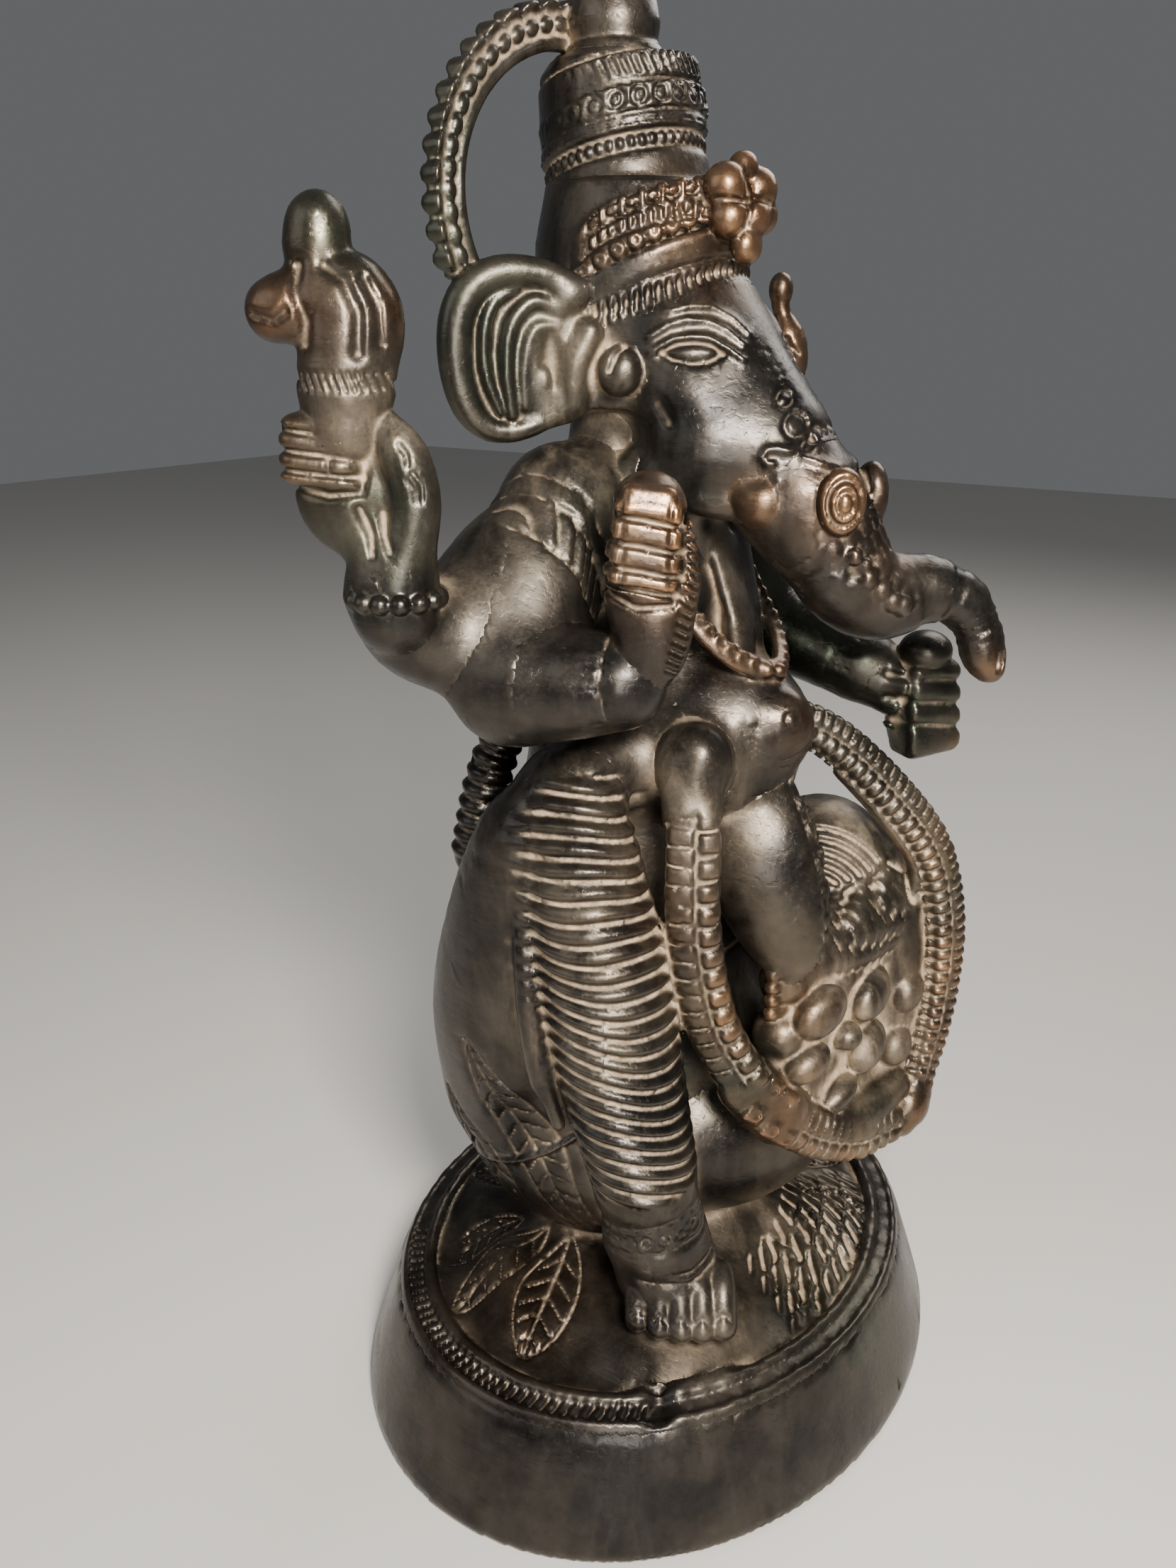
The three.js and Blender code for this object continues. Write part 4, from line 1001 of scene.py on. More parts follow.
DOTS = [
    (-3.5, -18.9, 196.9), (-5, -20, 194.6), (-3.4, -20.6, 194.8), (-5, -21, 193.4), (-3.4, -21.6, 193.5),
    (-4.2, -22.2, 192.2),
]
RINGS = [
    (-5.6, -23.4, 189.9, 1.3), (-6, -25.7, 186.1, 1.9), (-2.8, -27.9, 184.6, 1.3),
    (-5.5, -27.9, 182.9, 1.1),
]
# Path, width and depth; a negative depth raises the line.
FACE_LINES = [
    (BROW, 0.5, -0.6), (BROW_TWO, 0.5, -0.6), (LID, 0.55, -0.75), (EYE_LOW, 0.4, 0.8),
    (EYE_HIGH, 0.38, 0.7),
    (CREASE, 0.9, 0.7), (SOCKET, 0.6, -0.7), (SCROLL, 0.62, -0.75),
]
for side in (-1, 1):
    add("head", Ball((side * 8, -10, 182), (8.4, 10, 9)), 3.5)
    add("head", Ball((side * 10.5, -7, 190), (5, 7, 6)), 3)
    jaw = [(side * 13.6, -5.5, 177.5, 3.2), (side * 11, -13, 174.6, 3), (side * 7, -18, 173.4, 2.6)]
    add("head", Limb(jaw, 8), 1.4)
    label = ("right", "left")[side > 0]
    add(label + "_tusk", Limb([(side * 7, -17, 177, 3.8), (side * 8.4, -21.8, 174.4, 4.3)]), 0.6)
    stud = label + "_ear_stud"
    add(stud, Ball((side * 17.0, -0.2, 193.8), (3.1, 3.7, 3.9)), 0.6)
    slit = [(side * 19, -1, 197.6), (side * 19, -0.8, 195.4), (side * 19, -0.2, 193.8)]
    engrave(stud, slit, (side, 0, 0), 0.5, 1.2)

    # Medallion: an oval on the root of the trunk, ringed twice round a dome.
    medal = label + "_medallion"
    spot = np.array([side * 5.6, -33.9, 175.0])
    facing = turn(side * 50)
    add(medal, Ball(spot, (3.9, 2.8, 5.3), facing), 0.5)

    def medal_rings(x, y, z, spot=spot, facing=facing):
        across = (x - spot[0]) * facing[0, 0] + (y - spot[1]) * facing[1, 0]
        r = np.hypot(across / 3.9, (z - spot[2]) / 5.3) * 4.5
        return 0.85 * line(r - 2.9, 0.42) + 0.7 * line(r - 1.5, 0.36)

    relief(medal, spot - 7, spot + 7, medal_rings)

    def place(points, side=side):
        return [(-side * p[0], *p[1:]) for p in points]

    gaze = (-side * GAZE[0], GAZE[1], GAZE[2])
    for name in ("head", "trunk"):
        for path, width, depth in FACE_LINES:
            engrave(name, place(path), gaze, width, depth, 4)
        for x, y, z, r in RINGS:
            turns = []
            for t in np.linspace(0, 6.3, 12):
                across = r * math.cos(t)
                turns.append((x + 0.57 * across, y - 0.82 * across, z + r * math.sin(t)))
            engrave(name, place(turns), gaze, 0.38, 0.6, 4)
    add("head", Ball((side * 11.9, -10.1, 196.5), (3.9, 1.5, 1.25), turn(side * 61)), 0.5)
    for x, y, z in place(DOTS):
        cut(Ball((x, y - 0.2, z), 0.46), 0.3)

# A textured band under the medallion, scale ornaments, and fine rings round the curl.
SCALES = [
    (-3.3, -36.2, 166.4), (-2.2, -37.3, 165), (-1.7, -38, 162.9), (0.3, -39.5, 161), (1.9, -40.9, 159.1),
    (3.3, -42.2, 158.3),
]
for i, (x, y, z) in enumerate(SCALES):
    add("trunk", Ball((x + 0.3, y + 0.6, z), (1.9, 1.7, 2.0)), 0.35)
    add("trunk", Ball((x + 3.0, y - 0.2, z + 0.6), (1.7, 1.6, 1.8)), 0.35)


def trunk_rings(along, aside, ahead):
    curl = np.clip((along - 25) / 3, 0, 1) * np.clip((trunk.start[-1] - along) / 3, 0, 1)
    folds = 0.5 * line(wrap(along, 1.5), 0.4) * curl
    texture = 0.5 * line(wrap(along + 0.5 * aside, 1.5), 0.4) * span(along - 8, 4) * (ahead < 9)
    return folds + texture


along_limb("trunk", trunk, trunk_rings)
add("trunk", Limb([(18.7, -50.2, 149.4, 3.6), (19.2, -51.4, 146.6, 3.0), (19.4, -52.2, 145.4, 1.8)], 6), 1)
cut(Ball((18.4, -53.6, 147.6), (1.2, 1.2, 1.9)), 0.5)

# Rim, three hooked ridges and the soft corner, as (outward, up, forward, radius) from the ear's root.
EAR_RIDGES = [
    ([
        (2, 8.6, 0.8, 2.0), (8, 10.8, 1.0, 2.3), (14, 11.2, 1.0, 2.6), (19, 9.0, 0.8, 2.9),
        (21.6, 4.0, 0.6, 2.9), (21.8, -3, 0.4, 2.7), (20.0, -9, 0.3, 2.4), (16, -12.2, 0.3, 1.9),
        (10, -11.6, 0.4, 1.6), (3, -7.6, 0.4, 1.5),
    ], 0.8),
    ([
        (12.5, 8.8, 1.6, 0.9), (16.0, 6.8, 1.8, 1.1), (17.6, 2.4, 1.9, 1.15), (17.4, -3.6, 1.7, 1.1),
        (15.2, -9.2, 1.2, 0.9),
    ], 0.4),
    ([
        (13.4, -9.6, 1.3, 1.0), (14.2, -3, 1.8, 1.25), (13.4, 3.4, 1.9, 1.3), (9.8, 7.0, 1.8, 1.3),
        (5.6, 5.6, 1.7, 1.1),
    ], 0.5),
    ([(11.2, -8.4, 1.4, 0.9), (11.4, -2.6, 1.8, 1.1), (9.8, 2.8, 1.9, 1.1), (6.4, 3.4, 1.8, 0.9)], 0.45),
    ([(1, 2.4, 2.2, 2.2), (3.4, -2.6, 2.2, 2.0), (3.2, -7.6, 1.4, 1.6)], 1.2),
]


def ear(side):
    """A fan ear: a thick rolled rim, ridges that hook round a hollow, and a soft corner by the head."""
    name = ("right", "left")[side > 0] + "_ear"
    swing = math.radians(42)
    out = np.array([side * math.cos(swing), math.sin(swing), 0])
    root = np.array([side * 16, 5.5, 197.0])
    front = np.array([side * math.sin(swing), -math.cos(swing), 0])
    matrix = np.array([out, -front, [0, 0, 1]]).T

    def at(u, v, w=0.0):
        return root + out * u + front * w + np.array([0, 0, 1]) * v

    def path(points, blend):
        stations = [(*at(*p[:3]), p[3]) for p in points]
        add(name, Limb(stations, 3 * len(points), face=front), blend)

    add(name, Ball(at(11, 0.5), (11.8, 2.0, 11.6), matrix), 1)
    add(name, Ball(at(6, -2, 0.2), (8, 2.2, 9.6), matrix), 2)
    for points, blend in EAR_RIDGES:
        path(points, blend)
    add(name, Ball(at(4.0, 8.0, 1.4), (3.2, 2.2, 2.6), matrix), 1.0)
    cut(Ball(at(7.2, -1.6, 3.2), (1.9, 2.2, 4.6), matrix), 0.8)
    add(name, Ball(at(8.2, -4.6, 1.4), (1.2, 1.3, 2.2), matrix), 0.5)


ear(-1)
ear(1)

# ---------------------------------------------------------------- crown

BASE_CROWN = [
    (0, 188), (16.8, 188), (17.2, 198), (17.2, 208), (17.0, 213), (16.2, 216.4), (14.9, 221.4),
    (14.0, 222), (0, 222),
]
add("crown_base", Turned(BASE_CROWN, (0, 6.5), lean=0.04), 1)
TIER = [
    (0, 221.6), (13.6, 221.6), (13.4, 226), (13.3, 231), (12.9, 235.5), (12.3, 237.6), (10.6, 239.6),
    (7.9, 240.8), (0, 241),
]
add("crown_tier", Turned(TIER, (0, 9.6), lean=0.14), 0.6)
BULB = [
    (0, 239.4), (6.6, 239.4), (7.6, 240.4), (7.7, 241.6), (6.9, 242.4), (6.9, 243), (7.4, 245.4),
    (6.7, 248.4), (4.8, 250.7), (2.2, 251.7), (0, 251.9),
]
add("finial", Turned(BULB, (0, 12.4), lean=0.02), 0.6)
add("circle_band", Hoop((0, 10.6, 231.0), (0, 0.25, 1), 12.6, 1.8, 1.15, 0.5), 0.3)
add("hatched_band", Hoop((0, 11.3, 235.7), (0, 0.22, 1), 11.8, 1.9, 1.2, 0.7), 0.3)


def crown_level(x, y, z, rise):
    """Angle from the front in radians, and height above a row that rises to the front."""
    turned_by = np.arctan2(x, -(y - 10.8))
    return turned_by, z - rise * np.cos(turned_by)


def tier_marks(x, y, z):
    turned_by, level = crown_level(x, y, z, 3.0)
    arc = turned_by * 13.4
    ridges = -0.5 * (line(level - 227.2, 0.35) + line(level - 228.3, 0.35))
    grooves = line(level - 223.9, 0.45) + line(level - 226.2, 0.4) + line(level - 238.4, 0.4)
    ribs = line(wrap(arc + 0.2 * level, 1.7), 0.4) * span(level - 225.1, 0.9)
    return ridges + 0.75 * grooves + 0.6 * ribs


def circle_marks(x, y, z):
    turned_by, level = crown_level(x, y, z, 3.3)
    return 0.8 * rings_in_row(turned_by * 13.6, level - 231, 3.6, 1.15, 0.36)


def hatch_marks(x, y, z):
    turned_by, level = crown_level(x, y, z, 2.8)
    ticks = line(wrap(turned_by * 13 + 0.5 * level, 1.7), 0.42) * span(level - 235.8, 1.5)
    return 0.75 * ticks


relief("crown_tier", (-16, -8, 220), (16, 30, 243), tier_marks)
relief("circle_band", (-17, -8, 224), (17, 32, 238), circle_marks)
relief("hatched_band", (-17, -8, 229), (17, 32, 242), hatch_marks)

# A flat upright strip down the back of the crown, where the halo's web meets it.
add("crown_base", Limb([(0, 21.8, 202, 2.6), (0, 23.4, 220, 2.6)]), 1.5)
add("crown_tier", Limb([(0, 23.2, 222, 2.4), (0, 24.2, 233, 2.2), (0, 22.2, 240, 2.2)], 6), 1.5)

# Diadem, over the front half of the crown's base and rising to the middle: a ribbed headband, a smooth
# double roll, bored beads, short ribs and a row of circles.
DIADEM_MIDDLE = 6.8


def diadem_place(x, y):
    """Angle from the front in radians, and the rise toward the front, 0 to 1."""
    turned_by = np.arctan2(x, DIADEM_MIDDLE - y)
    return turned_by, np.maximum(np.cos(turned_by), 0)


def front_arc(radius, low, rise, power, reach=1.6, count=25):
    """Points round the front of the crown, low at the sides and higher by rise in the middle."""
    points = []
    for angle in np.linspace(-reach, reach, count):
        lift = rise * max(math.cos(angle), 0.0) ** power
        points.append((radius * math.sin(angle), DIADEM_MIDDLE - radius * math.cos(angle), low + lift))
    return points


for name, radius, low, rise, power, thick in (
    ("crown_base", 16.6, 200.8, 6.4, 1.5, 1.4), ("crown_base", 16.8, 202.4, 7.0, 1.2, 1.2),
    ("lower_diadem", 17.0, 204.0, 8.0, 1, 1.25), ("lower_diadem", 17.2, 205.6, 8.4, 1, 1.25),
    ("upper_diadem", 16.4, 208.6, 9.4, 0.8, 1.7), ("upper_diadem", 16.3, 210.6, 8.8, 0.7, 1.5),
    ("upper_diadem", 16.2, 212.8, 8.2, 0.55, 1.4),
):
    add(name, Limb([(*p, thick) for p in front_arc(radius, low, rise, power)], 50), 0.7)
BEADS = front_arc(17.5, 207.6, 9.8, 0.95, 1.5, 21)
for x, y, z in BEADS:
    add("upper_diadem", Ball((x, y, z), 1.55), 0.3)
for x, y, z in BEADS:
    out = unit((x, y - DIADEM_MIDDLE, 0.6))
    cut(Ball(np.array([x, y, z]) + out * 1.5, 0.62), 0.25)


def diadem_rows(x, y, z):
    """A row of circles above short ribs between two lines."""
    turned_by, rise = diadem_place(x, y)
    arc = turned_by * 17
    top = 213.9 + 8.2 * rise**0.5
    circles = 0.75 * rings_in_row(arc, z - top + 1.3, 3.1, 1.05, 0.34)
    ribs = 0.7 * line(wrap(arc, 1.5), 0.36) * span(z - top + 4.2, 0.8)
    edges = 0.6 * (line(z - top + 3.0, 0.3) + line(z - top + 5.4, 0.35))
    return np.where(rise > 0.02, circles + ribs + edges, 0)


def headband_ribs(x, y, z):
    turned_by, rise = diadem_place(x, y)
    level = z - 201.6 - 6.4 * rise**1.4
    return 0.75 * line(wrap(turned_by * 17, 1.6), 0.4) * span(level, 1.7)


relief("upper_diadem", (-20, -14, 202), (20, 12, 224), diadem_rows)
relief("crown_base", (-20, -14, 198), (20, 12, 212), headband_ribs)
for side in (-1, 1):
    for x, y, z, r in ((17.6, 5.6, 205.8, 1.7), (17.4, 7.2, 203.4, 1.5), (17.4, 6.8, 208.4, 1.4)):
        add("crown_base", Ball((side * x, y, z), r), 0.6)

# Jewel: a compact cluster of two upper lobes, three below, a lower drop and a small top bead.
JEWEL_LOBES = [
    (-5.4, -11.6, 220.4, 3.5), (1.4, -13.0, 220.2, 3.5), (-5.2, -12.2, 216.0, 3.2),
    (-1.2, -13.4, 216.2, 3.4), (2.6, -13.2, 216.6, 3.0),
]
for x, y, z, radius in JEWEL_LOBES:
    add("jewel", Ball((x, y, z), radius), 0.35)
add("jewel", Ball((-2.2, -13.8, 212.2), (2.9, 2.4, 3.0)), 0.4)
add("jewel", Ball((-1.6, -12.4, 223.4), (2.6, 2.2, 2.2)), 0.6)
engrave("jewel", [(-8.5, -12, 218.6), (-5, -14, 218), (-1, -15, 218.4), (4, -14, 218)], GAZE, 0.4, 0.5)
engrave("jewel", [(-4.4, -14, 222), (-3.6, -15, 219), (-4, -15, 216), (-5, -14, 213.5)], GAZE, 0.4, 0.5)

# ---------------------------------------------------------------- halo

HALO_MIDDLE = np.array([0, 20, 219.5])
HALO_OUTER = (37.2, 29.5)
HALO_INNER = (30.6, 22.3)
HALO_BEADS = 34


class HaloArch:
    """The flat elliptical arch of the halo, above a height."""

    def __init__(self, foot):
        self.foot = foot
        self.low = np.array([-HALO_OUTER[0], 17.5, foot])
        self.high = np.array([HALO_OUTER[0], 22.5, HALO_MIDDLE[2] + HALO_OUTER[1]])

    def distance(self, x, y, z):
        u, v = np.broadcast_arrays(x, z - HALO_MIDDLE[2])
        outer = (np.hypot(u / HALO_OUTER[0], v / HALO_OUTER[1]) - 1) * np.hypot(u, v) * 0.98
        inner = (1 - np.hypot(u / HALO_INNER[0], v / HALO_INNER[1])) * np.hypot(u, v) * 0.98
        flat = np.maximum(np.maximum(outer, inner), self.foot - z)
        depth = np.abs(y - HALO_MIDDLE[1]) - 1.9
        outside = np.sqrt(np.maximum(flat + 0.5, 0) ** 2 + np.maximum(depth + 0.5, 0) ** 2)
        return outside + np.minimum(np.maximum(flat + 0.5, depth + 0.5), 0) - 0.5


def halo_point(share, angle, y):
    """A point of the arch, share 0 at its inner edge and 1 at its outer edge."""
    wide = HALO_INNER[0] + (HALO_OUTER[0] - HALO_INNER[0]) * share
    high = HALO_INNER[1] + (HALO_OUTER[1] - HALO_INNER[1]) * share
    return np.array([wide * math.cos(angle), y, HALO_MIDDLE[2] + high * math.sin(angle)])


add("halo", HaloArch(207.1), 0.3)


def halo_rows(x, y, z):
    """Ribs across the outer edge, a groove behind its corner, and a channel inside."""
    v = z - HALO_MIDDLE[2]
    angle = np.arctan2(v / 26, x / 34)
    inner = np.hypot(x / HALO_INNER[0], v / HALO_INNER[1])
    outer = np.hypot(x / HALO_OUTER[0], v / HALO_OUTER[1])
    share = (inner - 1) / (inner / outer - 1)
    ribs = 1 - np.abs(np.sin(angle * 22)) ** 0.6
    face = y < 18.9
    rim = 1.6 * ribs * np.clip((share - 0.72) / 0.15, 0, 1)
    channel = 0.9 * span(share - 0.5, 0.27, 0.12) + 0.5 * line(share - 0.82, 0.05)
    return np.where(face, channel, 0) + rim


relief("halo", (-40, 16, 206), (40, 24, 251), halo_rows)
for i in range(HALO_BEADS):
    angle = math.radians(-24) + math.radians(228) * (i + 0.5) / HALO_BEADS
    tilt = turn(0, 0, -math.degrees(angle))
    add("halo", Ball(halo_point(0.5, angle, 18.9), (1.25, 1.15, 1.75), tilt), 0.25)


# ---------------------------------------------------------------- finish of each piece

SLOTS = {part["node"]: part["material_slot"] for part in frame["record"]["subparts"]}

# Where the patina is rubbed through to copper: centre, radius, strength.
COPPER = [
    ((-2, -14, 218), 11, 1.0), ((-10, -9, 214), 7, 0.7), ((-4, -13, 208), 6, 0.4),
    ((-36, -21, 175), 8, 0.75), ((-36, -21, 166), 6, 0.55), ((-63, 22, 203), 8, 0.85),
    ((-54, 13, 203), 5, 0.7), ((-60, 22, 183), 8, 0.6), ((-8, -21, 175), 5, 0.8), ((-7, -35, 175), 7, 1.0),
    ((4, -37, 165), 6, 0.7), ((19, -52, 147), 4, 0.7), ((0, -26, 137), 6, 0.8), ((-8, -17, 149), 6, 0.3),
    ((0, -21, 146), 5, 0.35), ((58, 6, 197), 9, 0.9), ((40, -40, 126), 6, 0.4), ((-18, 3, 160), 5, 0.3),
    ((-20, -27, 92), 10, 0.7), ((-10, -33, 68), 9, 0.9), ((26, -45, 52), 7, 1.0), ((5, -40, 54), 6, 0.5),
    ((34, -47, 82), 9, 0.7), ((33, -46, 66), 7, 0.6), ((30, -43, 108), 8, 0.5), ((-3, -29, 84), 8, 0.9),
    ((-22, -15, 108), 12, 0.45), ((8, -30, 88), 5, 0.5), ((-37, 6, 26), 16, 0.55),
    ((-22, -27, 28), 6, 0.4), ((-44, 2, 24), 9, 0.4), ((-5, -14, 235), 6, 0.2),
]
# Where dust has settled thickly.
DUST = [
    ((-30, -4, 112), 14, 0.5), ((-37, -1, 88), 10, 0.6), ((-20, -12, 125), 13, 0.9),
    ((2, -12, 168), 12, 0.5), ((24, -26, 108), 14, 0.9), ((36, -34, 92), 12, 0.9),
    ((12, -38, 76), 17, 1.5), ((34, -30, 66), 14, 0.8), ((-24, 8, 180), 12, 0.7), ((-56, 15, 188), 8, 0.8),
    ((-54, 15, 172), 6, 0.7), ((-19, 6, 196), 8, 0.7), ((-25, -28, 27), 12, 0.6), ((5, -28, 30), 16, 0.7),
    ((24, -20, 32), 16, 0.6), ((0, 16, 222), 16, 0.5), ((-12, 16, 242), 14, 0.5),
    ((-13, -13, 205), 8, 0.5), ((6, -40, 53), 12, 0.6), ((-26, -16, 48), 10, 0.3),
    ((-30, 8, 166), 12, 0.5), ((-44, 14, 163), 8, 0.5), ((-36, -2, 60), 9, 0.4),
]
# Where the patina has gone grey-green.
GREEN = [
    ((-38, 20, 210), 10, 0.8), ((-36, 20, 230), 14, 0.4), ((27, -14, 147), 14, 0.7),
    ((36, 13, 160), 16, 0.5), ((-12, -24, 76), 12, 0.6), ((10, -40, 52), 10, 0.7),
    ((-22, -24, 90), 8, 0.4), ((0, 30, 60), 24, 0.3), ((-30, 12, 208), 8, 0.5), ((30, -42, 104), 10, 0.4),
    ((-30, 13, 197), 13, 0.5), ((-56, 18, 176), 13, 0.6), ((-58, 18, 214), 8, 0.6),
    ((37, -34, 132), 11, 0.7), ((-24, -8, 172), 12, 0.3), ((0, -50, 24), 16, 0.5),
]
PATCHES = {"copper": COPPER, "dust": DUST, "green": GREEN}


def spots(points, places):
    """The strongest of soft round patches, at each point."""
    value = np.zeros(len(points))
    for centre, radius, strength in places:
        near = ((points - np.array(centre)) ** 2).sum(1) / radius**2
        value = np.maximum(value, strength * np.exp(-near))
    return value


# Colours, linear.
NEAR_BLACK = (0.024, 0.022, 0.021)
WARM_GREY = (0.078, 0.070, 0.060)
GREY_GREEN = (0.080, 0.096, 0.066)
BARE_BRASS = (0.175, 0.146, 0.110)
DEEP_COPPER = (0.40, 0.195, 0.088)
BRIGHT_COPPER = (0.50, 0.275, 0.135)
DEEP_DUST = (0.24, 0.175, 0.115)
PALE_DUST = (0.42, 0.325, 0.22)
BUMP_STRENGTH = 0.3
BUMP_DISTANCE = 0.00045


def patina(name, copper_bias, dust_bias, brown):
    """Dark patina over brass: dust in hollows, rubbed highlights, copper where handled, fine pitting."""
    material = bpy.data.materials.new(name)
    material.use_nodes = True
    tree = material.node_tree
    nodes, links = tree.nodes, tree.links
    shader = nodes["Principled BSDF"]
    place = nodes.new("ShaderNodeTexCoord")

    def math_step(kind, a, b=None, c=None, clamp=False):
        node = nodes.new("ShaderNodeMath")
        node.operation, node.use_clamp = kind, clamp
        for socket, value in zip(node.inputs, (a, b, c)):
            if value is None:
                continue
            if isinstance(value, (int, float)):
                socket.default_value = value
            else:
                links.new(value, socket)
        return node.outputs[0]

    def times(a, b):
        return math_step("MULTIPLY", a, b, clamp=True)

    def noise(scale, detail=4, roughness=0.6, distortion=0.0, stretch=None):
        node = nodes.new("ShaderNodeTexNoise")
        node.inputs["Scale"].default_value = scale
        node.inputs["Detail"].default_value = detail
        node.inputs["Roughness"].default_value = roughness
        node.inputs["Distortion"].default_value = distortion
        source = place.outputs["Object"]
        if stretch is not None:
            mapping = nodes.new("ShaderNodeMapping")
            mapping.inputs["Scale"].default_value = stretch
            mapping.inputs["Rotation"].default_value = (0.4, 0.7, 0.2)
            links.new(source, mapping.inputs["Vector"])
            source = mapping.outputs["Vector"]
        links.new(source, node.inputs["Vector"])
        return node.outputs[0]

    def ranged(value, low, high, out_low=0.0, out_high=1.0):
        node = nodes.new("ShaderNodeMapRange")
        node.interpolation_type = "SMOOTHSTEP"
        links.new(value, node.inputs["Value"])
        node.inputs["From Min"].default_value = low
        node.inputs["From Max"].default_value = high
        node.inputs["To Min"].default_value = out_low
        node.inputs["To Max"].default_value = out_high
        return node.outputs["Result"]

    def mix(factor, a, b):
        node = nodes.new("ShaderNodeMix")
        node.data_type = "RGBA"
        links.new(factor, node.inputs["Factor"])
        for socket, value in ((node.inputs["A"], a), (node.inputs["B"], b)):
            if isinstance(value, tuple):
                socket.default_value = (*value, 1)
            else:
                links.new(value, socket)
        return node.outputs["Result"]

    def attribute(title):
        node = nodes.new("ShaderNodeAttribute")
        node.attribute_name = title
        return node.outputs["Fac"]

    fine, broad = attribute("fine"), attribute("broad")
    copper_place, dust_place, green_place = attribute("copper"), attribute("dust"), attribute("green")
    clouds, mottle, grit = noise(60, 5), noise(320, 5, 0.65), noise(1500, 4, 0.7)
    smears = noise(150, 4, 0.6, 0.6, (1, 1, 0.25))

    # Patina colour: near black to olive brown in soft clouds.
    base = mix(ranged(clouds, 0.36, 0.66), NEAR_BLACK, brown)
    base = mix(ranged(smears, 0.40, 0.75, 0, 0.35), base, WARM_GREY)
    green = times(green_place, ranged(mottle, 0.35, 0.65, 0.2, 1))
    base = mix(green, base, GREY_GREEN)

    # Rubbed relief, warmer where the copper shows.
    raised = math_step("ADD", ranged(fine, 0.10, 0.50), ranged(broad, 0.20, 1.0, 0, 0.22))
    rub = times(raised, ranged(clouds, 0.30, 0.62, 0.7, 1))
    base = mix(times(rub, 0.62), base, BARE_BRASS)
    showing = math_step("MULTIPLY_ADD", raised, 1.3, 0.16)
    copper = times(math_step("ADD", copper_place, copper_bias), showing)
    copper = times(copper, ranged(mottle, 0.28, 0.60, 0.6, 1.15))
    warm = mix(ranged(smears, 0.35, 0.7), DEEP_COPPER, BRIGHT_COPPER)
    base = mix(copper, base, warm)

    # Dust in the hollows.
    sunk_fine = ranged(math_step("MULTIPLY", fine, -1.0), 0.03, 0.34)
    sunk = math_step("ADD", sunk_fine, ranged(math_step("MULTIPLY", broad, -1.0), 0.15, 0.95, 0, 0.75))
    amount = math_step("MULTIPLY_ADD", dust_place, 0.9, 0.42 + dust_bias)
    dust = times(sunk, amount)
    film = math_step("MULTIPLY", dust_place, ranged(smears, 0.30, 0.74, 0.04, 0.5))
    film = math_step("MULTIPLY", film, math_step("SUBTRACT", 1.0, raised, clamp=True))
    dust = math_step("ADD", dust, film, clamp=True)
    dust = times(dust, ranged(grit, 0.25, 0.60, 0.8, 1.1))
    powder = mix(ranged(mottle, 0.35, 0.65), DEEP_DUST, PALE_DUST)
    base = mix(dust, base, powder)
    links.new(base, shader.inputs["Base Color"])

    clean = math_step("SUBTRACT", 1.0, dust, clamp=True)
    metal = math_step("MULTIPLY", clean, ranged(mottle, 0.2, 0.7, 0.8, 0.95))
    links.new(metal, shader.inputs["Metallic"])
    gloss = ranged(clouds, 0.3, 0.7, 0.25, 0.40)
    gloss = math_step("ADD", gloss, ranged(grit, 0.3, 0.7, -0.02, 0.05))
    rough = math_step("MULTIPLY_ADD", dust, 0.5, gloss, clamp=True)
    links.new(rough, shader.inputs["Roughness"])

    # Casting skin: soft dents, pitting and fine scratches.
    dents, pits = noise(210, 3, 0.5), noise(900, 5, 0.7)
    scratches = noise(900, 2, 0.5, 0.2, (1, 0.06, 1))
    height = math_step("MULTIPLY", dents, 0.55)
    height = math_step("MULTIPLY_ADD", ranged(pits, 0.26, 0.42), 0.22, height)
    height = math_step("MULTIPLY_ADD", ranged(scratches, 0.35, 0.5), 0.10, height)
    height = math_step("MULTIPLY_ADD", math_step("MULTIPLY", grit, dust), 0.5, height)
    bump = nodes.new("ShaderNodeBump")
    bump.inputs["Strength"].default_value = BUMP_STRENGTH
    bump.inputs["Distance"].default_value = BUMP_DISTANCE
    links.new(height, bump.inputs["Height"])
    links.new(bump.outputs["Normal"], shader.inputs["Normal"])
    return material


FINISH = {
    "dark_patina": patina("dark_patina", 0.0, 0.0, (0.056, 0.048, 0.040)),
    "worn_copper": patina("worn_copper", 0.12, 0.0, (0.085, 0.060, 0.042)),
    "dusty_patina": patina("dusty_patina", 0.0, 0.28, (0.072, 0.060, 0.045)),
}

# ---------------------------------------------------------------- meshing


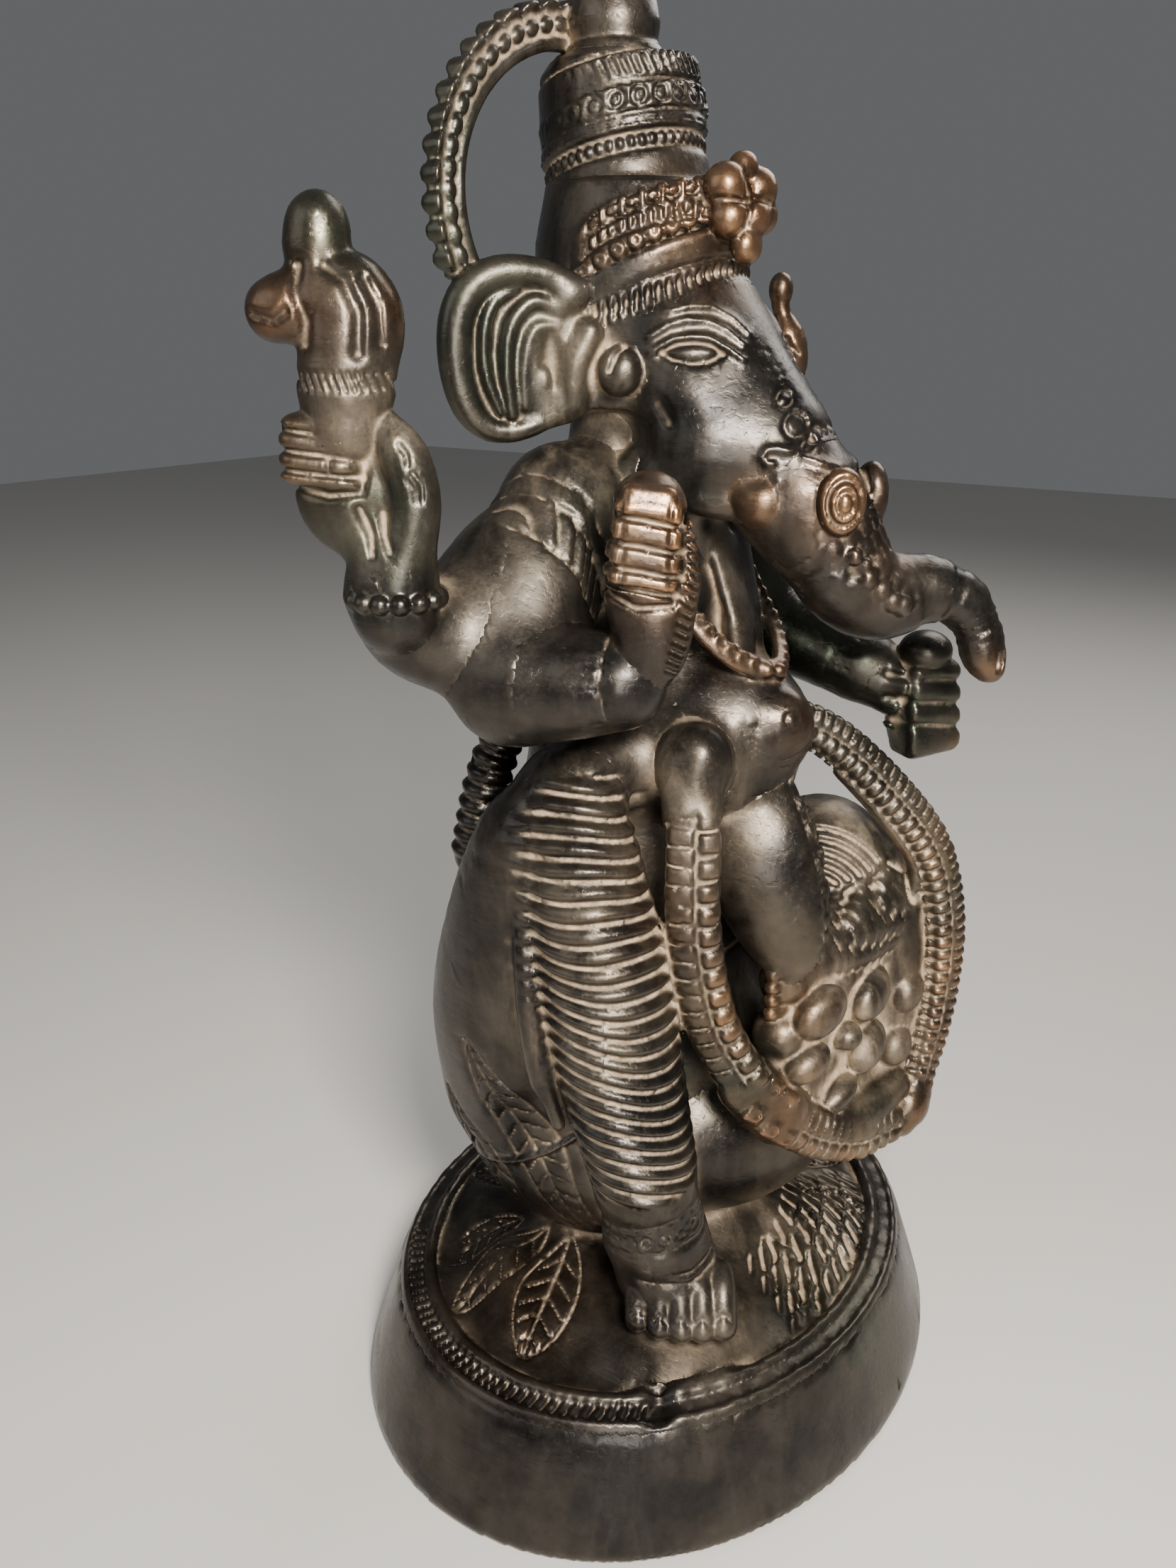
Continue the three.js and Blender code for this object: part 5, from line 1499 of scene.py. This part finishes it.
def mesh_piece(clay, soft, name):
    """One member as a mesh, with its relief and patches as attributes; gives its triangle count."""
    points, triangles, quads = clay.piece(name)
    corners = np.concatenate([triangles[:, ::-1].ravel(), quads[:, ::-1].ravel()])
    split = len(triangles) * 3
    starts = np.concatenate([np.arange(0, split, 3), split + np.arange(len(quads)) * 4])
    mesh = bpy.data.meshes.new("cast_" + name)
    mesh.vertices.add(len(points))
    mesh.vertices.foreach_set("co", (points * MM).astype(np.float32).ravel())
    mesh.loops.add(len(corners))
    mesh.loops.foreach_set("vertex_index", corners.astype(np.int32))
    mesh.polygons.add(len(starts))
    mesh.polygons.foreach_set("loop_start", starts.astype(np.int32))
    mesh.polygons.foreach_set("use_smooth", np.ones(len(starts), bool))
    mesh.update()
    mesh.validate()
    values = {title: clay.sample(grid, points) for title, grid in soft.items()}
    values |= {title: spots(points, places) for title, places in PATCHES.items()}
    for title, value in values.items():
        layer = mesh.attributes.new(title, "FLOAT", "POINT")
        layer.data.foreach_set("value", value.astype(np.float32))
    mesh.materials.append(FINISH[SLOTS[name]])
    piece = bpy.data.objects.new("cast_" + name, mesh)
    bpy.context.scene.collection.objects.link(piece)
    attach(piece, "root")
    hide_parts(name)
    return len(triangles) + 2 * len(quads)


# Blocks of clay: low corner, high corner, voxel, and the members meshed from each.
CHARTS = [
    ((-69, -58, -2), (69, 58, 24), 0.9, "plinth"),
    ((-61, -51, 20), (61, 51, 38), 0.5, "rim_band mound"),
    ((-46, -54, 22), (50, 42, 140), 0.5,
     "hips right_thigh right_shin right_foot right_anklet left_foot left_shin left_thigh seat "
     "front_sash rear_sash garland_near garland_far garland_knob garland_hem"),
    ((-60, -56, 92), (66, 36, 200), 0.5,
     "belly torso trunk scarf necklace right_upper_arm right_forearm right_bracelet right_back_arm "
     "left_upper_arm left_forearm left_bracelet left_back_arm left_hand left_sweet"),
    ((-46, -42, 158), (46, 30, 254), 0.42,
     "head right_tusk left_tusk right_medallion left_medallion right_ear_stud left_ear_stud "
     "right_ear left_ear crown_base crown_tier finial jewel lower_diadem upper_diadem circle_band "
     "hatched_band halo"),
    ((-48, -32, 144), (-22, -6, 190), 0.36, "right_hand right_attribute"),
    ((-72, 4, 150), (-44, 34, 220), 0.38, "right_back_hand right_back_attribute right_back_bracelet"),
    ((44, 0, 160), (68, 24, 214), 0.45, "left_back_hand left_back_attribute"),
]

total = 0
for low, high, voxel, names in CHARTS:
    clay = Clay(low, high, voxel)
    clay.sculpt()
    soft = {"fine": clay.blurred(1.1), "broad": clay.blurred(4.0)}
    for name in names.split():
        count = mesh_piece(clay, soft, name)
        total += count
        print("piece", name, count)
print("triangles", total)

# ---------------------------------------------------------------- floor, lights and camera

AIM = np.array([-8.0, 12.0, 120.0]) * MM


def panel(name, place, size, power, colour):
    """A square soft light."""
    light = bpy.data.lights.new(name, "AREA")
    light.energy, light.size, light.color = power, size, colour
    lamp = bpy.data.objects.new(name, light)
    bpy.context.scene.collection.objects.link(lamp)
    point_at(lamp, place, AIM)


def point_at(thing, place, aim):
    """Put a lamp or camera at a place, looking at aim."""
    thing.location = place
    thing.rotation_euler = (Vector(aim) - Vector(place)).to_track_quat("-Z", "Y").to_euler()


FLOOR_HALF = 1.5
FLOOR_LEVEL = -0.0002
floor_mesh = bpy.data.meshes.new("floor")
corners = [(x * FLOOR_HALF, y * FLOOR_HALF, FLOOR_LEVEL) for x, y in ((-1, -1), (1, -1), (1, 1), (-1, 1))]
floor_mesh.from_pydata(corners, [], [(0, 1, 2, 3)])
floor = bpy.data.objects.new("floor", floor_mesh)
bpy.context.scene.collection.objects.link(floor)
floor_paint = bpy.data.materials.new("floor_paint")
floor_paint.use_nodes = True
floor_shader = floor_paint.node_tree.nodes["Principled BSDF"]
floor_shader.inputs["Base Color"].default_value = (0.62, 0.60, 0.57, 1)
floor_shader.inputs["Roughness"].default_value = 0.8
floor_mesh.materials.append(floor_paint)

world = bpy.data.worlds.new("studio")
world.use_nodes = True
sky = world.node_tree.nodes["Background"]
sky.inputs["Color"].default_value = (0.80, 0.82, 0.85, 1)
sky.inputs["Strength"].default_value = 0.16
bpy.context.scene.world = world

panel("key", (-0.20, -0.20, 0.30), 0.08, 3.0, (1.0, 0.95, 0.87))
panel("fill", (-0.60, 0.30, 0.45), 0.5, 1.2, (0.92, 0.96, 1.0))
panel("rim", (0.50, -0.05, 0.60), 0.4, 2.8, (1.0, 0.97, 0.93))
panel("front", (-0.34, -0.26, 0.14), 0.14, 0.7, (1.0, 0.98, 0.95))

AZIMUTH = math.radians(-55)
ELEVATION = math.radians(20)
DISTANCE = 0.237
FOCAL_LENGTH = 29.15
lens_data = bpy.data.cameras.new("camera")
lens_data.sensor_width = 36
lens_data.lens = FOCAL_LENGTH
lens_data.clip_start = 0.01
camera = bpy.data.objects.new("camera", lens_data)
bpy.context.scene.collection.objects.link(camera)
level = math.cos(ELEVATION)
offset = np.array([math.sin(AZIMUTH) * level, -math.cos(AZIMUTH) * level, math.sin(ELEVATION)])
point_at(camera, tuple(AIM + offset * DISTANCE), AIM)
bpy.context.scene.camera = camera
